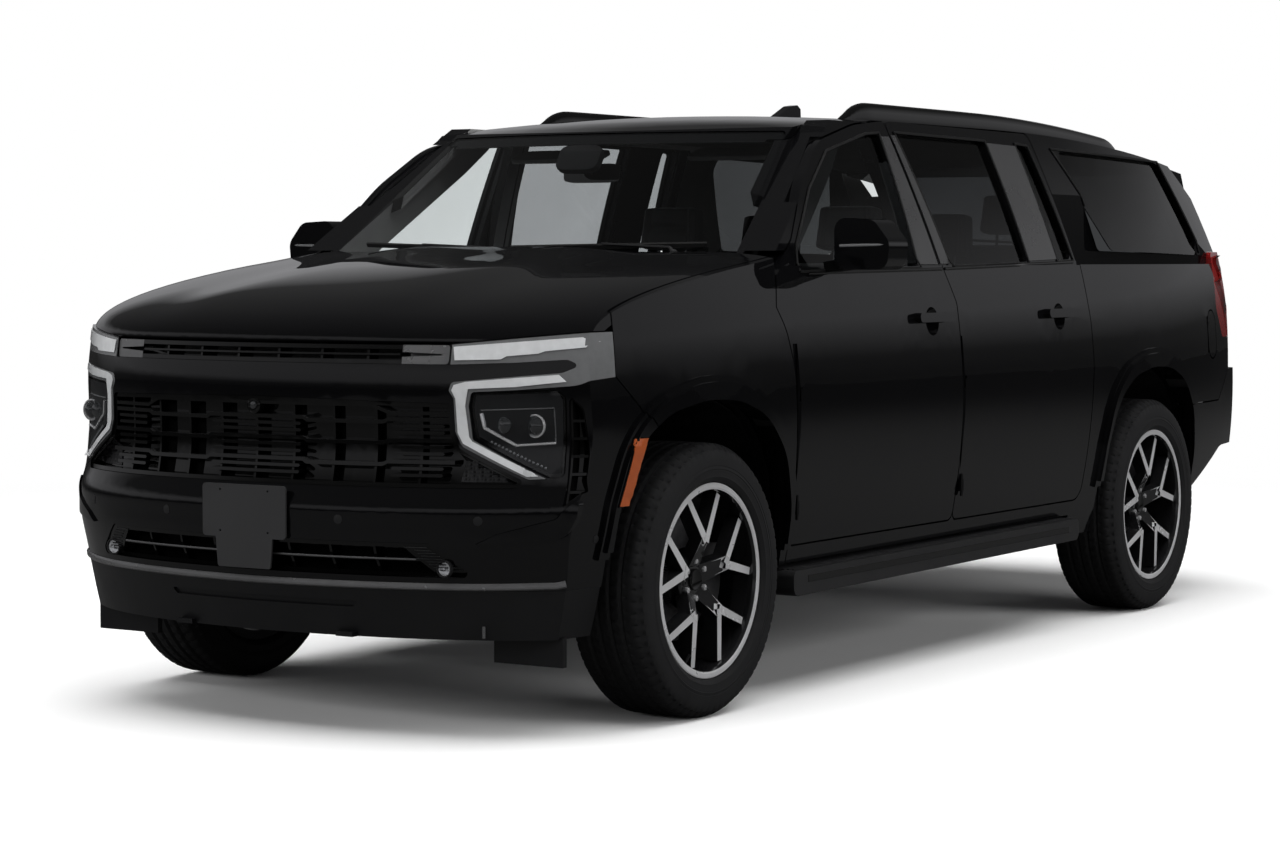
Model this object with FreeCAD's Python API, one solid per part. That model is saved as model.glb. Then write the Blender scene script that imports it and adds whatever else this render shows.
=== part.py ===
"""Full-size three-row SUV, modelled as an assembly of named pieces.

Frame: millimetres, +Z up, front of the vehicle towards -Y, its left side towards +X.
Origin: on the ground, under the middle of the vehicle's overall length and width.
"""
import FreeCAD
import Part
import math
import os

V = FreeCAD.Vector

# Overall sizes
overall_length = 5748.0
overall_width = 2057.0
overall_height = 1923.0
wheelbase = 3407.0
front_overhang = 992.5
ground_clearance = 215.0

# Wheels: 275/50 R22
tyre_radius = 417.0
tyre_width = 275.0
rim_flange_radius = 296.0
track = 1740.0
kingpin_offset = 65.0
steer_lock_deg = 33.0

# Shut lines and wall thicknesses
shut_gap = 6.0
seat_gap = 0.3
trim_gap = 0.9
door_thickness = 105.0
frame_thickness = 42.0
glass_thickness = 5.0
sheet_thickness = 22.0

# Body side stations, as distances from the front axle along the vehicle
front_door_start = 505.0
front_door_end = 1681.0
rear_door_end = 2790.0
pillar_jog = 50.0

# Body heights
belt_z = 1360.0
waist_z = 900.0
door_bottom_z = 482.0
rocker_bottom_z = 424.0
quarter_bottom_z = 345.0
roof_crown_z = 1893.0
hood_front_z = 1150.0
floor_z = 600.0
load_floor_z = 790.0

y_front = -overall_length / 2
y_rear = overall_length / 2
y_axle_f = y_front + front_overhang
y_axle_r = y_axle_f + wheelbase
wheel_x = track / 2
kingpin_x = wheel_x - kingpin_offset


def wire(points, place):
    """Closed wire through 2D points (a, b) or (a, b, corner radius); place maps (a, b) to space."""
    corners = [(p[0], p[1], p[2] if len(p) > 2 else 0.0) for p in points]
    count = len(corners)
    starts, ends, middles = [], [], []
    for i in range(count):
        a, b, radius = corners[i]
        before = V(corners[i - 1][0] - a, corners[i - 1][1] - b, 0)
        after = V(corners[(i + 1) % count][0] - a, corners[(i + 1) % count][1] - b, 0)
        if radius <= 0:
            starts.append((a, b))
            ends.append((a, b))
            middles.append(None)
            continue
        half = before.getAngle(after) / 2
        cut = min(radius / math.tan(half), 0.49 * before.Length, 0.49 * after.Length)
        radius = cut * math.tan(half)
        before.normalize()
        after.normalize()
        bisector = (before + after).normalize()
        centre = V(a, b, 0) + bisector * (radius / math.sin(half))
        middle = centre - bisector * radius
        starts.append((a + before.x * cut, b + before.y * cut))
        ends.append((a + after.x * cut, b + after.y * cut))
        middles.append((middle.x, middle.y))
    edges = []
    for i in range(count):
        if middles[i]:
            edges.append(Part.Arc(place(*starts[i]), place(*middles[i]), place(*ends[i])).toShape())
        here, there = place(*ends[i]), place(*starts[(i + 1) % count])
        if here.distanceToPoint(there) > 1e-6:
            edges.append(Part.makeLine(here, there))
    return Part.Wire(edges)


def sheet(points, place, grow):
    """Flat face inside an outline that is grown outwards, or shrunk where grow is negative."""
    outline = wire(points, place)
    if grow:
        outline = outline.makeOffset2D(grow, 2)
    return Part.Face(outline)


def prism_x(points, x0, x1, grow=0.0):
    """Side-view outline (y, z) as a solid from x0 to x1."""
    return sheet(points, lambda a, b: V(x0, a, b), grow).extrude(V(x1 - x0, 0, 0))


def prism_y(points, y0, y1, grow=0.0):
    """Front-view outline (x, z) as a solid from y0 to y1."""
    return sheet(points, lambda a, b: V(a, y0, b), grow).extrude(V(0, y1 - y0, 0))


def prism_z(points, z0, z1, grow=0.0):
    """Plan outline (x, y) as a solid from z0 to z1."""
    return sheet(points, lambda a, b: V(a, b, z0), grow).extrude(V(0, 0, z1 - z0))


def box(x0, x1, y0, y1, z0, z1):
    return Part.makeBox(x1 - x0, y1 - y0, z1 - z0, V(x0, y0, z0))


def rod(start, end, radius):
    """Round bar between two points."""
    direction = end - start
    return Part.makeCylinder(radius, direction.Length, start, direction)


def drum(x0, x1, y, z, radius):
    """Cylinder along X."""
    return Part.makeCylinder(radius, x1 - x0, V(x0, y, z), V(1, 0, 0))


def mirrored(shape):
    return shape.mirror(V(0, 0, 0), V(1, 0, 0))


def both(shape):
    return [shape, mirrored(shape)]


def fuse(shapes, merge=True):
    """One solid from several; merge joins the faces that continue each other."""
    result = shapes[0]
    if len(shapes) > 1:
        result = result.fuse(shapes[1:])
    return result.removeSplitter() if merge else result


def skin(first, second, point):
    """Smooth face through point(a, b) for every a in first and b in second."""
    surface = Part.BSplineSurface()
    surface.interpolate([[point(a, b) for b in second] for a in first])
    return surface.toShape()


def spread(start, end, count):
    return [start + (end - start) * i / (count - 1) for i in range(count)]


nodes = {}


def keep(name, shapes):
    """Stores a node as one compound of its solids."""
    shapes = shapes if isinstance(shapes, list) else [shapes]
    solids = [s for shape in shapes for s in shape.Solids]
    nodes[name] = solids


# Body surfaces: the plan curve of each side, its section, the hood, the roof and the nose
side_taper_front = 42.0
side_taper_rear = 62.0
front_taper_start = -1500.0
rear_taper_start = 900.0
side_half_width = 1004.0
shoulder_inset = 42.0
tuck_inset = 38.0
belt_step = 12.0
tumblehome = 0.30
barrel = 1.23e-4
nose_bow = 245.0
nose_round = 165.0
nose_y = -2800.0
nose_profile = [(180, -2755), (330, -2798), (480, -2838), (575, -2866), (690, -2868), (735, -2842), (870, -2826),
                (1020, -2832), (1100, -2822), (1200, -2802)]
hood_rise = 237.6
hood_power = 0.457


def half_width(y):
    """Widest half width of the body at a station."""
    width = side_half_width
    if y < front_taper_start:
        width -= side_taper_front * ((front_taper_start - y) / 915.0) ** 2.2
    if y > rear_taper_start:
        width -= side_taper_rear * ((y - rear_taper_start) / 1400.0) ** 3
    return width


def side_x(y, z):
    """Outer skin of the body side below the belt."""
    if z < waist_z:
        inset = tuck_inset * ((waist_z - z) / 420.0) ** 2
    else:
        inset = shoulder_inset * ((z - waist_z) / (belt_z - waist_z)) ** 2
    return half_width(y) - inset


def upper_x(y, z):
    """Outer skin of the glasshouse above the belt."""
    rise = z - belt_z
    return half_width(y) - shoulder_inset - belt_step - tumblehome * rise - barrel * rise * abs(rise)


def nose(x):
    """How far the front swings back from its centre at x."""
    return nose_bow * (x / 1000.0) ** 2 + nose_round * (x / 1000.0) ** 6


def hood_z(x, y):
    back = max(y - (nose_y + nose(x)), 0.0)
    return hood_front_z + hood_rise * (back / 1000.0) ** hood_power


def roof_z(x, y):
    z = roof_crown_z - 30.0 * (x / 760.0) ** 2
    if y < -300:
        z -= 63.0 * ((-300 - y) / 660.0) ** 2
    if y > 550:
        z -= 66.0 * ((y - 550) / 1420.0) ** 2
    return z


def fascia_y(x, z):
    """Front face of the nose and bumper: bowed in plan, with the profile of its centre line."""
    for (z0, y0), (z1, y1) in zip(nose_profile, nose_profile[1:]):
        if z <= z1:
            break
    return y0 + (y1 - y0) * (z - z0) / (z1 - z0) + nose(x)


def gate_y(x, z):
    """Rear face of the liftgate: upright below the belt, raked at the glass."""
    rake = 0.0
    if z > 1150:
        rake = 215.0 * ((z - 1150.0) / 650.0) ** 1.6 + 45.0 * (z - 1150.0) / 650.0
    return y_rear - 92.0 - rake - 120.0 * (x / 1000.0) ** 2 - 250.0 * (x / 1000.0) ** 6


def windshield_y(x, z):
    """Windshield: raked 34 degrees from level, its middle standing ahead of its sides."""
    return -1395.0 + 1.448 * (z - 1411.0) - 195.0 * (1 - (x / 800.0) ** 2)


def hood_point(x, t):
    """Hood top at x; t runs from the leading edge to beyond the windshield's foot."""
    y = nose_y + nose(x) + 1500.0 * t ** 2.2
    return V(x, y, hood_z(x, y) + 16.0 * math.exp(-(x / 430.0) ** 6) * min(t * 2.5, 1.0))


lower_skin = skin(spread(-2960, 2960, 17), spread(250, 1420, 10), lambda y, z: V(side_x(y, z), y, z))
upper_skin = skin(spread(-1800, 2960, 13), spread(1250, 1900, 6), lambda y, z: V(upper_x(y, z), y, z))
fascia_skin = skin(spread(-1060, 1060, 17), spread(180, 1215, 24), lambda x, z: V(x, fascia_y(x, z), z))
grille_skin = skin(spread(-1060, 1060, 15), spread(420, 1200, 8), lambda x, z: V(x, fascia_y(x, z), z))
gate_skin = skin(spread(-1010, 1010, 15), spread(300, 1900, 17), lambda x, z: V(x, gate_y(x, z), z))
screen_skin = skin(spread(-900, 900, 9), spread(1200, 1900, 3), lambda x, z: V(x, windshield_y(x, z), z))
hood_skin = skin(spread(-1060, 1060, 25), spread(0, 1, 12), hood_point)
roof_skin = skin(spread(-860, 860, 7), spread(-1150, 2620, 13), lambda x, y: V(x, y, roof_z(x, y)))


def side_slab(depth, thickness, face=lower_skin):
    """Left body-side wall from a depth under its outer skin inwards."""
    return face.extrude(V(-thickness, 0, 0)).translated(V(-depth, 0, 0))


def within_sides(shape, depth=0.0):
    """The part of a shape that lies inside both body sides."""
    outside = lower_skin.extrude(V(700, 0, 0)).translated(V(-depth, 0, 0))
    return shape.cut(outside).cut(mirrored(outside))


# Side outlines (y, z)
def belt(y):
    return belt_z + 0.0176 * y


y_f0 = y_axle_f + front_door_start
y_b = y_axle_f + front_door_end
y_c = y_axle_f + rear_door_end
front_door_outline = [
    (y_f0 + 10, door_bottom_z, 30), (y_f0 + 14, 626), (y_f0, 1030, 300), (y_f0 - 44, 1167, 200),
    (y_f0 - 93, 1236), (y_f0 - 70, 1335, 20), (y_f0 + 101, 1446), (y_f0 + 286, 1640, 400),
    (y_f0 + 486, 1775, 300), (y_f0 + 776, 1838, 600), (y_b - 163, 1861, 30), (y_b - 83, belt(y_b)),
    (y_b - 12, 1234, 60), (y_b + 3, 900, 400), (y_b - 12, door_bottom_z, 30)]
rear_door_outline = [
    (y_b - 12 + shut_gap, door_bottom_z, 30), (y_b + 3 + shut_gap, 900, 400),
    (y_b - 12 + shut_gap, 1234, 60), (y_b - 83 + shut_gap, belt(y_b)), (y_b - 163 + shut_gap, 1861, 30),
    (y_c - 110, 1856, 40), (y_c - 40, belt(y_c)), (y_c - 1, 1156, 200), (y_c + 10, 990, 300),
    (y_c - 38, door_bottom_z, 60)]
front_window = [
    (y_f0 + 93, 1352, 15), (y_b - 250, 1362, 15), (y_b - 235, 1812, 15), (y_b - 330, 1806, 400),
    (y_f0 + 520, 1738, 300), (y_f0 + 320, 1610, 300), (y_f0 + 125, 1425, 10)]
rear_window = [
    (y_b + 10, 1366, 15), (y_b + 645, 1376, 15), (y_b + 595, 1812, 15), (y_b - 105, 1818, 15)]
vent_window = [
    (y_c - 200, 1382, 15), (y_c - 70, 1386, 30), (y_c - 155, 1805, 30), (y_c - 250, 1810, 15)]
quarter_window = [
    (y_c + 365, 1430, 40), (y_c + 1390, 1414, 40), (y_c + 1160, 1780, 60), (y_c + 65, 1800, 40)]
glasshouse = [
    (y_f0 - 73, 1300), (y_f0 - 66, 1376), (-1395, 1411), (-823, 1806), (-790, 1840), (-300, 1900), (1800, 1900),
    (2130, 1830), (2420, 1640), (2540, 1400), (2560, 1300)]
roof_edge_x = 692.0


def wall(outline, thickness, flange=25.0, upper=frame_thickness):
    """Door-like wall: an outer flange on the full outline over an inner box set back from it."""
    body = fuse([
        side_slab(0, flange).common(prism_x(outline, 600, 1100)),
        side_slab(flange - 1, thickness - flange + 1).common(prism_x(outline, 600, 1100, -12))])
    top = fuse([
        side_slab(0, 20, upper_skin).common(prism_x(outline, 500, 1100)),
        side_slab(19, upper - 19, upper_skin).common(prism_x(outline, 500, 1100, -9))])
    low = box(500, 1100, -3000, 3000, 200, belt_z + 4)
    return fuse([body.common(low), top.cut(box(500, 1100, -3000, 3000, 200, belt_z - 40))])


def cut_window(panel, outline):
    """Opening through the panel, with a rebate behind its outer lip for the glass."""
    panel = panel.cut(prism_x(outline, 500, 1100))
    return panel.cut(side_slab(14, 200, upper_skin).common(prism_x(outline, 500, 1100, 12)))


def pane(outline):
    """Glass that lies in the rebate of cut_window."""
    return side_slab(14 + seat_gap, glass_thickness, upper_skin).common(
        prism_x(outline, 500, 1100, 12 - seat_gap))


# Door hinges
hinge_inset = 12.0
hinge_pin_radius = 6.0
hinge_leaf = 40.0
running_fit = 0.08
axis_x = side_half_width - hinge_inset - 1.0
front_axis_y = y_f0 + 14 + hinge_inset
rear_axis_y = y_b + 3 + shut_gap + hinge_inset
hinge_heights = (600.0, 960.0)


def hinge_pocket(door, x, y, z):
    """Room in the door's front edge for one fixed leaf, and the pin's holes above and below it."""
    half = hinge_leaf / 2 + 1.5
    door = door.cut(box(x - 200, x + 12, y - 60, y + 12, z - half, z + half))
    return door.cut(rod(V(x, y, z - half - 20), V(x, y, z + half + 20), hinge_pin_radius + running_fit))


def hinge_leaf_and_pin(x, y, z, root_x):
    """Fixed leaf out to the hinge axis, with its pin."""
    leaf = box(root_x, x, y - 9, y + 9, z - hinge_leaf / 2, z + hinge_leaf / 2)
    leaf = leaf.fuse(rod(V(x, y, z - hinge_leaf / 2), V(x, y, z + hinge_leaf / 2), 9))
    return leaf.fuse(rod(V(x, y, z - hinge_leaf / 2 - 18), V(x, y, z + hinge_leaf / 2 + 18), hinge_pin_radius))


def round_hinge_edge(door, y):
    """Rounds the edge ahead of the hinge axis about that axis, so it turns within its own gap."""
    corner = box(axis_x, axis_x + 60, y - 40, y, 400, 1120)
    return door.cut(corner.cut(rod(V(axis_x, y, 390), V(axis_x, y, 1130), hinge_inset)))


def front_door():
    door = cut_window(wall(front_door_outline, door_thickness), front_window)
    door = round_hinge_edge(door, front_axis_y)
    for z in hinge_heights:
        door = hinge_pocket(door, axis_x, front_axis_y, z)
    return door.cut(handle_well(y_b - 210))


def rear_door():
    door = wall(rear_door_outline, door_thickness)
    door = cut_window(cut_window(door, rear_window), vent_window)
    door = round_hinge_edge(door, rear_axis_y)
    for z in hinge_heights:
        door = hinge_pocket(door, axis_x, rear_axis_y, z)
    return door.cut(handle_well(y_c - 280))


handle_length = 265.0
handle_z = 1188.0


def handle_well(y):
    """Finger space behind a pull handle, reached from below."""
    return Part.makeSphere(52, V(side_half_width + 2, y, handle_z - 12))


def handle(y):
    """Strap handle that stands clear of the door over the well."""
    outline = [(y - handle_length / 2, handle_z - 16, 14), (y + handle_length / 2, handle_z - 16, 14),
               (y + handle_length / 2, handle_z + 16, 14), (y - handle_length / 2, handle_z + 16, 14)]
    strap = side_slab(-26, 32).common(prism_x(outline, 600, 1100))
    return strap.cut(side_slab(-14, 40).common(
        prism_x([(y - 95, handle_z - 20), (y + 95, handle_z - 20), (y + 95, handle_z + 20),
                 (y - 95, handle_z + 20)], 600, 1100)))


def build_doors():
    front, rear = front_door(), rear_door()
    front = fuse([front, handle(y_b - 210)])
    rear = fuse([rear, handle(y_c - 280)])
    for side, flip in (("left", lambda s: s), ("right", mirrored)):
        keep("front_door_" + side, flip(front))
        keep("rear_door_" + side, flip(rear))
        keep("front_door_glass_" + side, flip(pane(front_window)))
        keep("rear_door_glass_" + side, [flip(pane(rear_window)), flip(pane(vent_window))])


# Body sides
arch_radius = 548.0
rocker_depth = door_thickness + shut_gap + 60.0
pillar_gap = door_thickness + shut_gap
arch_outline = [
    (-500, 300), (-497, 516, 300), (-484, 680, 400), (-405, 850, 300), (-250, 935, 300), (-60, 966, 500),
    (120, 958, 400), (290, 905, 300), (410, 780, 250), (470, 600, 300), (480, 300)]
flare_outline = [
    (-545, 520), (-520, 690, 300), (-455, 870, 300), (-300, 985, 300), (-60, 1040, 500), (120, 1034, 400),
    (290, 972, 300), (410, 868, 250), (500, 700, 300), (520, 470), (420, 470), (420, 420), (-460, 420),
    (-460, 520)]
flare_proud = 22.0


def shifted(points, y):
    return [(p[0] + y,) + tuple(p[1:]) for p in points]


def arch_room(y, grow=0.0):
    """Opening over a wheel, through everything outboard of the frame."""
    return prism_x(shifted(arch_outline, y), 330, 1200, grow)


def flare(y):
    """Raised lip round a wheel arch, with its outer edge chamfered back to the skin."""
    ring = side_slab(-flare_proud, flare_proud + 20).common(prism_x(shifted(flare_outline, y), 800, 1200))
    band = prism_x(shifted(flare_outline, y), 800, 1200, 3).cut(prism_x(shifted(flare_outline, y), 800, 1200, -20))
    ring = ring.cut(band.common(side_slab(-flare_proud - 5, 15)))
    return ring.cut(arch_room(y))


def door_room(outline):
    """Space of a closed door with its gap."""
    low = side_slab(-60, 60 + door_thickness + shut_gap).common(prism_x(outline, 600, 1100, shut_gap))
    low = low.cut(box(300, 1200, -3000, 3000, belt_z + 10, 2000))
    top = side_slab(-60, 60 + frame_thickness + shut_gap, upper_skin).common(
        prism_x(outline, 500, 1100, shut_gap))
    return [low, top.cut(box(300, 1200, -3000, 3000, 200, belt_z - 46))]


def windshield_edge(z):
    return 826.0 - 0.288 * (z - 1300)


def build_body_side():
    doors = [front_door_outline, rear_door_outline]
    rocker = side_slab(0, rocker_depth).common(
        box(600, 1100, y_f0 + 13, y_c + 200, rocker_bottom_z, door_bottom_z + 20))
    sill = side_slab(pillar_gap, 40).common(box(600, 1100, y_f0 + 20, y_c + 60, rocker_bottom_z, 596))
    ledge = box(740, 850, y_f0 + 20, y_c + 60, 578, floor_z).common(side_slab(pillar_gap, 400))
    quarter = side_slab(0, 60).common(prism_x(
        [(y_c - 112, quarter_bottom_z), (y_c - 112, belt_z + 6), (y_rear, belt_z + 6), (y_rear, quarter_cut_z + 130),
         (y_rear - 330, quarter_cut_z + 130, 60), (y_rear - 500, quarter_cut_z), (y_axle_r, quarter_cut_z),
         (y_axle_r, quarter_bottom_z)], 500, 1100))
    tail = gate_skin.extrude(V(0, -4600, 0))
    quarter = quarter.common(tail)
    corner = within_sides(tail.cut(tail.translated(V(0, -60, 0)))).common(
        box(600, 1100, 2300, 2900, quarter_cut_z + 130, belt_z + 40))
    under_roof = roof_skin.extrude(V(0, 0, -900))
    house = side_slab(0, 500, upper_skin).common(prism_x(glasshouse, roof_edge_x, 1100)).common(under_roof)
    house = house.common(tail)
    house = house.cut(side_slab(90, 600, upper_skin).common(under_roof.translated(V(0, 0, -60))))
    house = house.cut(box(300, 1100, -3000, 3000, 200, belt_z - 60))
    for outline in doors:
        house = house.cut(prism_x(outline, 400, 1100, -38))
    house = cut_window(house, quarter_window)
    swing_room = prism_x([(y_b - 90, 1290), (y_b + 60, 1290), (y_b + 10, 1785), (y_b + 180, 1785), (y_b + 180, 1868),
                          (y_b - 170, 1868), (y_b - 160, 1790)], 560, 900)
    house = house.cut(swing_room)
    pillar = prism_x([(y_f0 - 70, 1270), (y_f0 - 66, 1376), (-1395, 1411), (-823, 1806), (-760, 1850),
                      (-560, 1850), (-760, 1690), (-1200, 1390), (-1300, 1270)], roof_edge_x - 3, 1100)
    pillar = pillar.common(side_slab(0, 500, upper_skin)).cut(prism_y(
        [(-900, 1100), (windshield_edge(1100), 1100), (windshield_edge(1900), 1900), (-676, 1900)], -2500, 2500))
    flange = screen_skin.extrude(V(0, 60, 0)).translated(V(0, 14, 0)).common(prism_y(
        [(windshield_edge(1402) - 46, 1402), (windshield_edge(1402) + 6, 1402), (windshield_edge(1790) + 6, 1790),
         (windshield_edge(1790) - 34, 1790)], -2500, 2500)).common(roof_skin.extrude(V(0, 0, -900)).translated(
             V(0, 0, -34)))
    front_swing_room = box(822, 1100, y_f0 - 110, y_f0 + 180, 990, 1412)
    side = fuse([rocker, sill, ledge, quarter, corner, house, pillar, flange], False).cut(front_swing_room)
    for outline in doors:
        for room in door_room(outline):
            side = side.cut(room)
    hinge_post = box(700, 812, y_f0 - 60, y_f0 + 150, rocker_bottom_z, 1330)
    b_post = side_slab(pillar_gap, 55).common(prism_x(
        [(y_b - 95, 430), (y_b + 68, 430), (y_b + 68, 1190), (y_b - 92, 1255), (y_b - 92, belt_z + 24),
         (y_b - 190, belt_z + 24), (y_b - 190, 1190), (y_b - 95, 1080)], 500, 1100))
    b_top = side_slab(48, 36, upper_skin).common(prism_x(
        [(y_b - 190, belt_z + 12), (y_b - 92, belt_z + 12), (y_b - 172, 1850), (y_b - 265, 1850)], 400, 1100))
    b_tie = box(800, 890, y_b - 190, y_b - 92, belt_z + 12, belt_z + 36)
    c_post = side_slab(pillar_gap, 50).common(box(500, 1100, y_c - 60, y_c + 60, 420, belt_z + 20))
    c_web = side_slab(50, pillar_gap).common(box(500, 1100, y_c + 20, y_c + 45, 420, belt_z + 20))
    side = fuse([side, hinge_post, b_post, b_top, b_tie, c_post, c_web], False)
    for z in hinge_heights:
        side = side.fuse(hinge_leaf_and_pin(axis_x, front_axis_y, z, 800))
        side = side.fuse(hinge_leaf_and_pin(axis_x, rear_axis_y, z, 850))
    side = side.cut(arch_room(y_axle_r))
    side = side.cut(fuel_room(shut_gap)).cut(lamp_block(trim_gap)).cut(gate_room())
    side = fuse([side, flare(y_axle_r), hood_hinge_bracket()] + fuel_eyes(), False)
    return side.cut(arch_room(y_axle_f, 9)).cut(box(600, 1200, y_f0 - 400, y_f0 + 1, 200, 700)).cut(
        box(600, 1200, 1900, 3000, 200, quarter_cut_z))


quarter_cut_z = 800.0


# Fuel door in the left rear quarter, hinged in its front gap
fuel_outline = [(2208, 978, 55), (2326, 978, 55), (2326, 1172, 55), (2208, 1172, 55)]
fuel_thickness = 14.0
fuel_axis_x = 943.0
fuel_axis_y = fuel_outline[0][0] - 3.0
fuel_pin_radius = 2.0
fuel_pin_z = (1030.0, 1120.0)


def fuel_room(grow):
    """Recess behind the fuel door."""
    room = side_slab(-30, 30 + 46)
    swing = prism_x([(2194, 1000, 5), (2240, 1000), (2240, 1150), (2194, 1150, 5)], 600, 1100)
    return room.common(prism_x(fuel_outline, 600, 1100, grow)).fuse(room.common(swing))


def fuel_eyes():
    """Two eyes on the body that hold the fuel door's pin."""
    shapes = []
    for z in fuel_pin_z:
        eye = rod(V(fuel_axis_x, fuel_axis_y, z - 7), V(fuel_axis_x, fuel_axis_y, z + 7), 4.0)
        eye = eye.fuse(box(fuel_axis_x - 4, fuel_axis_x + 3, fuel_axis_y - 13, fuel_axis_y, z - 7, z + 7))
        shapes.append(eye.cut(rod(V(fuel_axis_x, fuel_axis_y, z - 9), V(fuel_axis_x, fuel_axis_y, z + 9),
                                  fuel_pin_radius + running_fit)))
    return shapes


def fuel_door():
    door = side_slab(0, fuel_thickness).common(prism_x(fuel_outline, 600, 1100))
    for z in fuel_pin_z:
        door = door.cut(rod(V(fuel_axis_x, fuel_axis_y, z - 9), V(fuel_axis_x, fuel_axis_y, z + 9), 6.5))
    low, high = fuel_pin_z
    pin = rod(V(fuel_axis_x, fuel_axis_y, low - 7), V(fuel_axis_x, fuel_axis_y, high + 7), fuel_pin_radius)
    web = box(fuel_axis_x - 2, fuel_axis_x + 2, fuel_axis_y, fuel_axis_y + 8, low + 16, high - 16)
    return fuse([door, pin, web], False)


# Tail lamps wrap round the rear corners
def lamp_block(grow):
    outline = [(2390, 1416, 30), (2366, 1180, 60), (2440, 1060, 30), (2900, 1060), (2900, 1416)]
    return prism_x(outline, gate_half_width + 6, 1100, grow)


def gate_room():
    """Space of the closed liftgate with its gap."""
    return prism_y([(-gate_half_width - 8, gate_bottom_z - 8), (gate_half_width + 8, gate_bottom_z - 8),
                    (gate_half_width + 8, 2000), (-gate_half_width - 8, 2000)], gate_axis_y - 34, y_rear + 50)


# Roof, windshield and cowl
windshield_outline = [
    (794, 1408), (678, 1812, 25), (-678, 1812, 25), (-794, 1408), (-600, 1392, 400), (0, 1379, 1500), (600, 1392, 400)]
windshield_thickness = 9.0


def screen_slab(start, end):
    """Slab between two distances behind the windshield's outer face."""
    return screen_skin.extrude(V(0, end - start, 0)).translated(V(0, start, 0))


def roof_panel():
    roof = roof_skin.extrude(V(0, 0, -32)).common(
        box(-roof_edge_x + shut_gap, roof_edge_x - shut_gap, -1150, gate_axis_y, 1500, 2000))
    roof = roof.cut(drum(-900, 900, gate_axis_y, gate_axis_z, gate_edge_radius + 2 * shut_gap + 1))
    screen = screen_skin.extrude(V(0, 900, 0)).common(box(-900, 900, -2000, 600, 1500, 2000))
    roof = roof.common(fuse([screen, box(-900, 900, -400, 3000, 1500, 2000)], False))
    roof = roof.cut(screen_slab(-40, windshield_thickness + 0.7).common(
        prism_y(windshield_outline, -2300, 0)))
    header = screen_slab(windshield_thickness + 0.7, 70).common(box(-630, 630, -1150, -600, 1772, 1805))
    fin = prism_x([(110, 1880), (410, 1880), (405, 1952, 8), (380, 1966, 10), (330, 1960, 60),
                   (200, 1905, 60)], -16, 16)
    return fuse([roof, header, fin, gate_hinge(-gate_hinge_x), gate_hinge(gate_hinge_x)], False)


def windshield():
    return screen_slab(0, windshield_thickness).common(prism_y(windshield_outline, -2300, 0, -4))


def cowl():
    """Plenum across the foot of the windshield, with a seat for the glass."""
    seat_wall = screen_slab(windshield_thickness + seat_gap, 45).common(box(-699, 699, -2300, -1000, 1200, 1404))
    tray = screen_slab(-150, 40).common(box(-699, 699, -2300, -1000, 1346, 1356))
    foot = screen_skin.extrude(V(0, 1200, 0)).translated(V(0, -20, 0)).common(box(-699, 699, -2300, y_f0 + 6, 1200, 1216))
    return fuse([seat_wall, tray, foot], False)


# Hood, with its hinges at the rear corners
hood_axis_y = -1466.0
hood_axis_z = 1384.0
hood_edge_radius = 22.0
hood_hinge_x = 790.0
hood_side_x = 932.0
hood_corner_y = -2372.0


def hood_outline(grow=0.0):
    """Plan of the hood: it wraps the nose's corners, then runs back between the fenders to the cowl."""
    right = [(1080, -3000), (1080, hood_corner_y + grow), (hood_side_x + grow, hood_corner_y + grow),
             (hood_side_x + grow, -1446 + grow), (774, -1446 + grow, 15), (766, -1480 + grow, 20),
             (640, -1530 + grow, 300), (460, -1594 + grow, 500), (0, -1690 + grow, 900)]
    return right + [(-p[0],) + p[1:] for p in right[-2::-1]]


def hood():
    panel = hood_skin.extrude(V(0, 14, -26)).common(prism_z(hood_outline(), 1000, 1600))
    panel = within_sides(panel.cut(box(-1100, 1100, -3000, 0, 1000, 1146)))
    for room in both(prism_y(day_lamp_outline, -3100, -2366, 4)):
        panel = panel.cut(room)
    ends = box(-1000, 1000, hood_axis_y, hood_axis_y + 80, 1300, 1500).cut(
        drum(-1010, 1010, hood_axis_y, hood_axis_z, hood_edge_radius))
    panel = panel.cut(ends)
    parts = [panel]
    for s in (-1, 1):
        x = s * hood_hinge_x
        arm = box(x - 8, x + 8, hood_axis_y - 160, hood_axis_y + 12, hood_axis_z - 40, hood_axis_z + 14)
        arm = arm.common(hood_skin.extrude(V(0, 0, -90)).translated(V(0, 0, -3)))
        parts.append(arm.cut(box(x - 9, x + 9, hood_axis_y, hood_axis_y + 50, 1300, 1450).cut(
            drum(x - 9, x + 9, hood_axis_y, hood_axis_z, hood_edge_radius - 4))))
    panel = fuse(parts, False)
    for s in (-1, 1):
        x = s * hood_hinge_x
        panel = panel.cut(drum(x - 40, x + 40, hood_axis_y, hood_axis_z, hinge_pin_radius + running_fit))
        panel = panel.cut(box(x - 34, x - 9.5, hood_axis_y - 24, hood_axis_y + 40, 1300, hood_axis_z + 11.5) if s > 0
                          else box(x + 9.5, x + 34, hood_axis_y - 24, hood_axis_y + 40, 1300, hood_axis_z + 11.5))
    return panel


def hood_hinge_bracket():
    """Bracket on the body inboard of each hood arm, with its pin."""
    x = hood_hinge_x
    post = box(x - 28, x - 12, hood_axis_y - 10, hood_axis_y + 10, 1250, hood_axis_z)
    post = fuse([post, drum(x - 28, x - 12, hood_axis_y, hood_axis_z, 10)], False)
    foot = box(x - 28, x - 12, hood_axis_y - 10, y_f0 + 10, 1230, 1290)
    pin = drum(x - 28, x + 9, hood_axis_y, hood_axis_z, hinge_pin_radius)
    return fuse([post, foot, pin], False)


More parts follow.
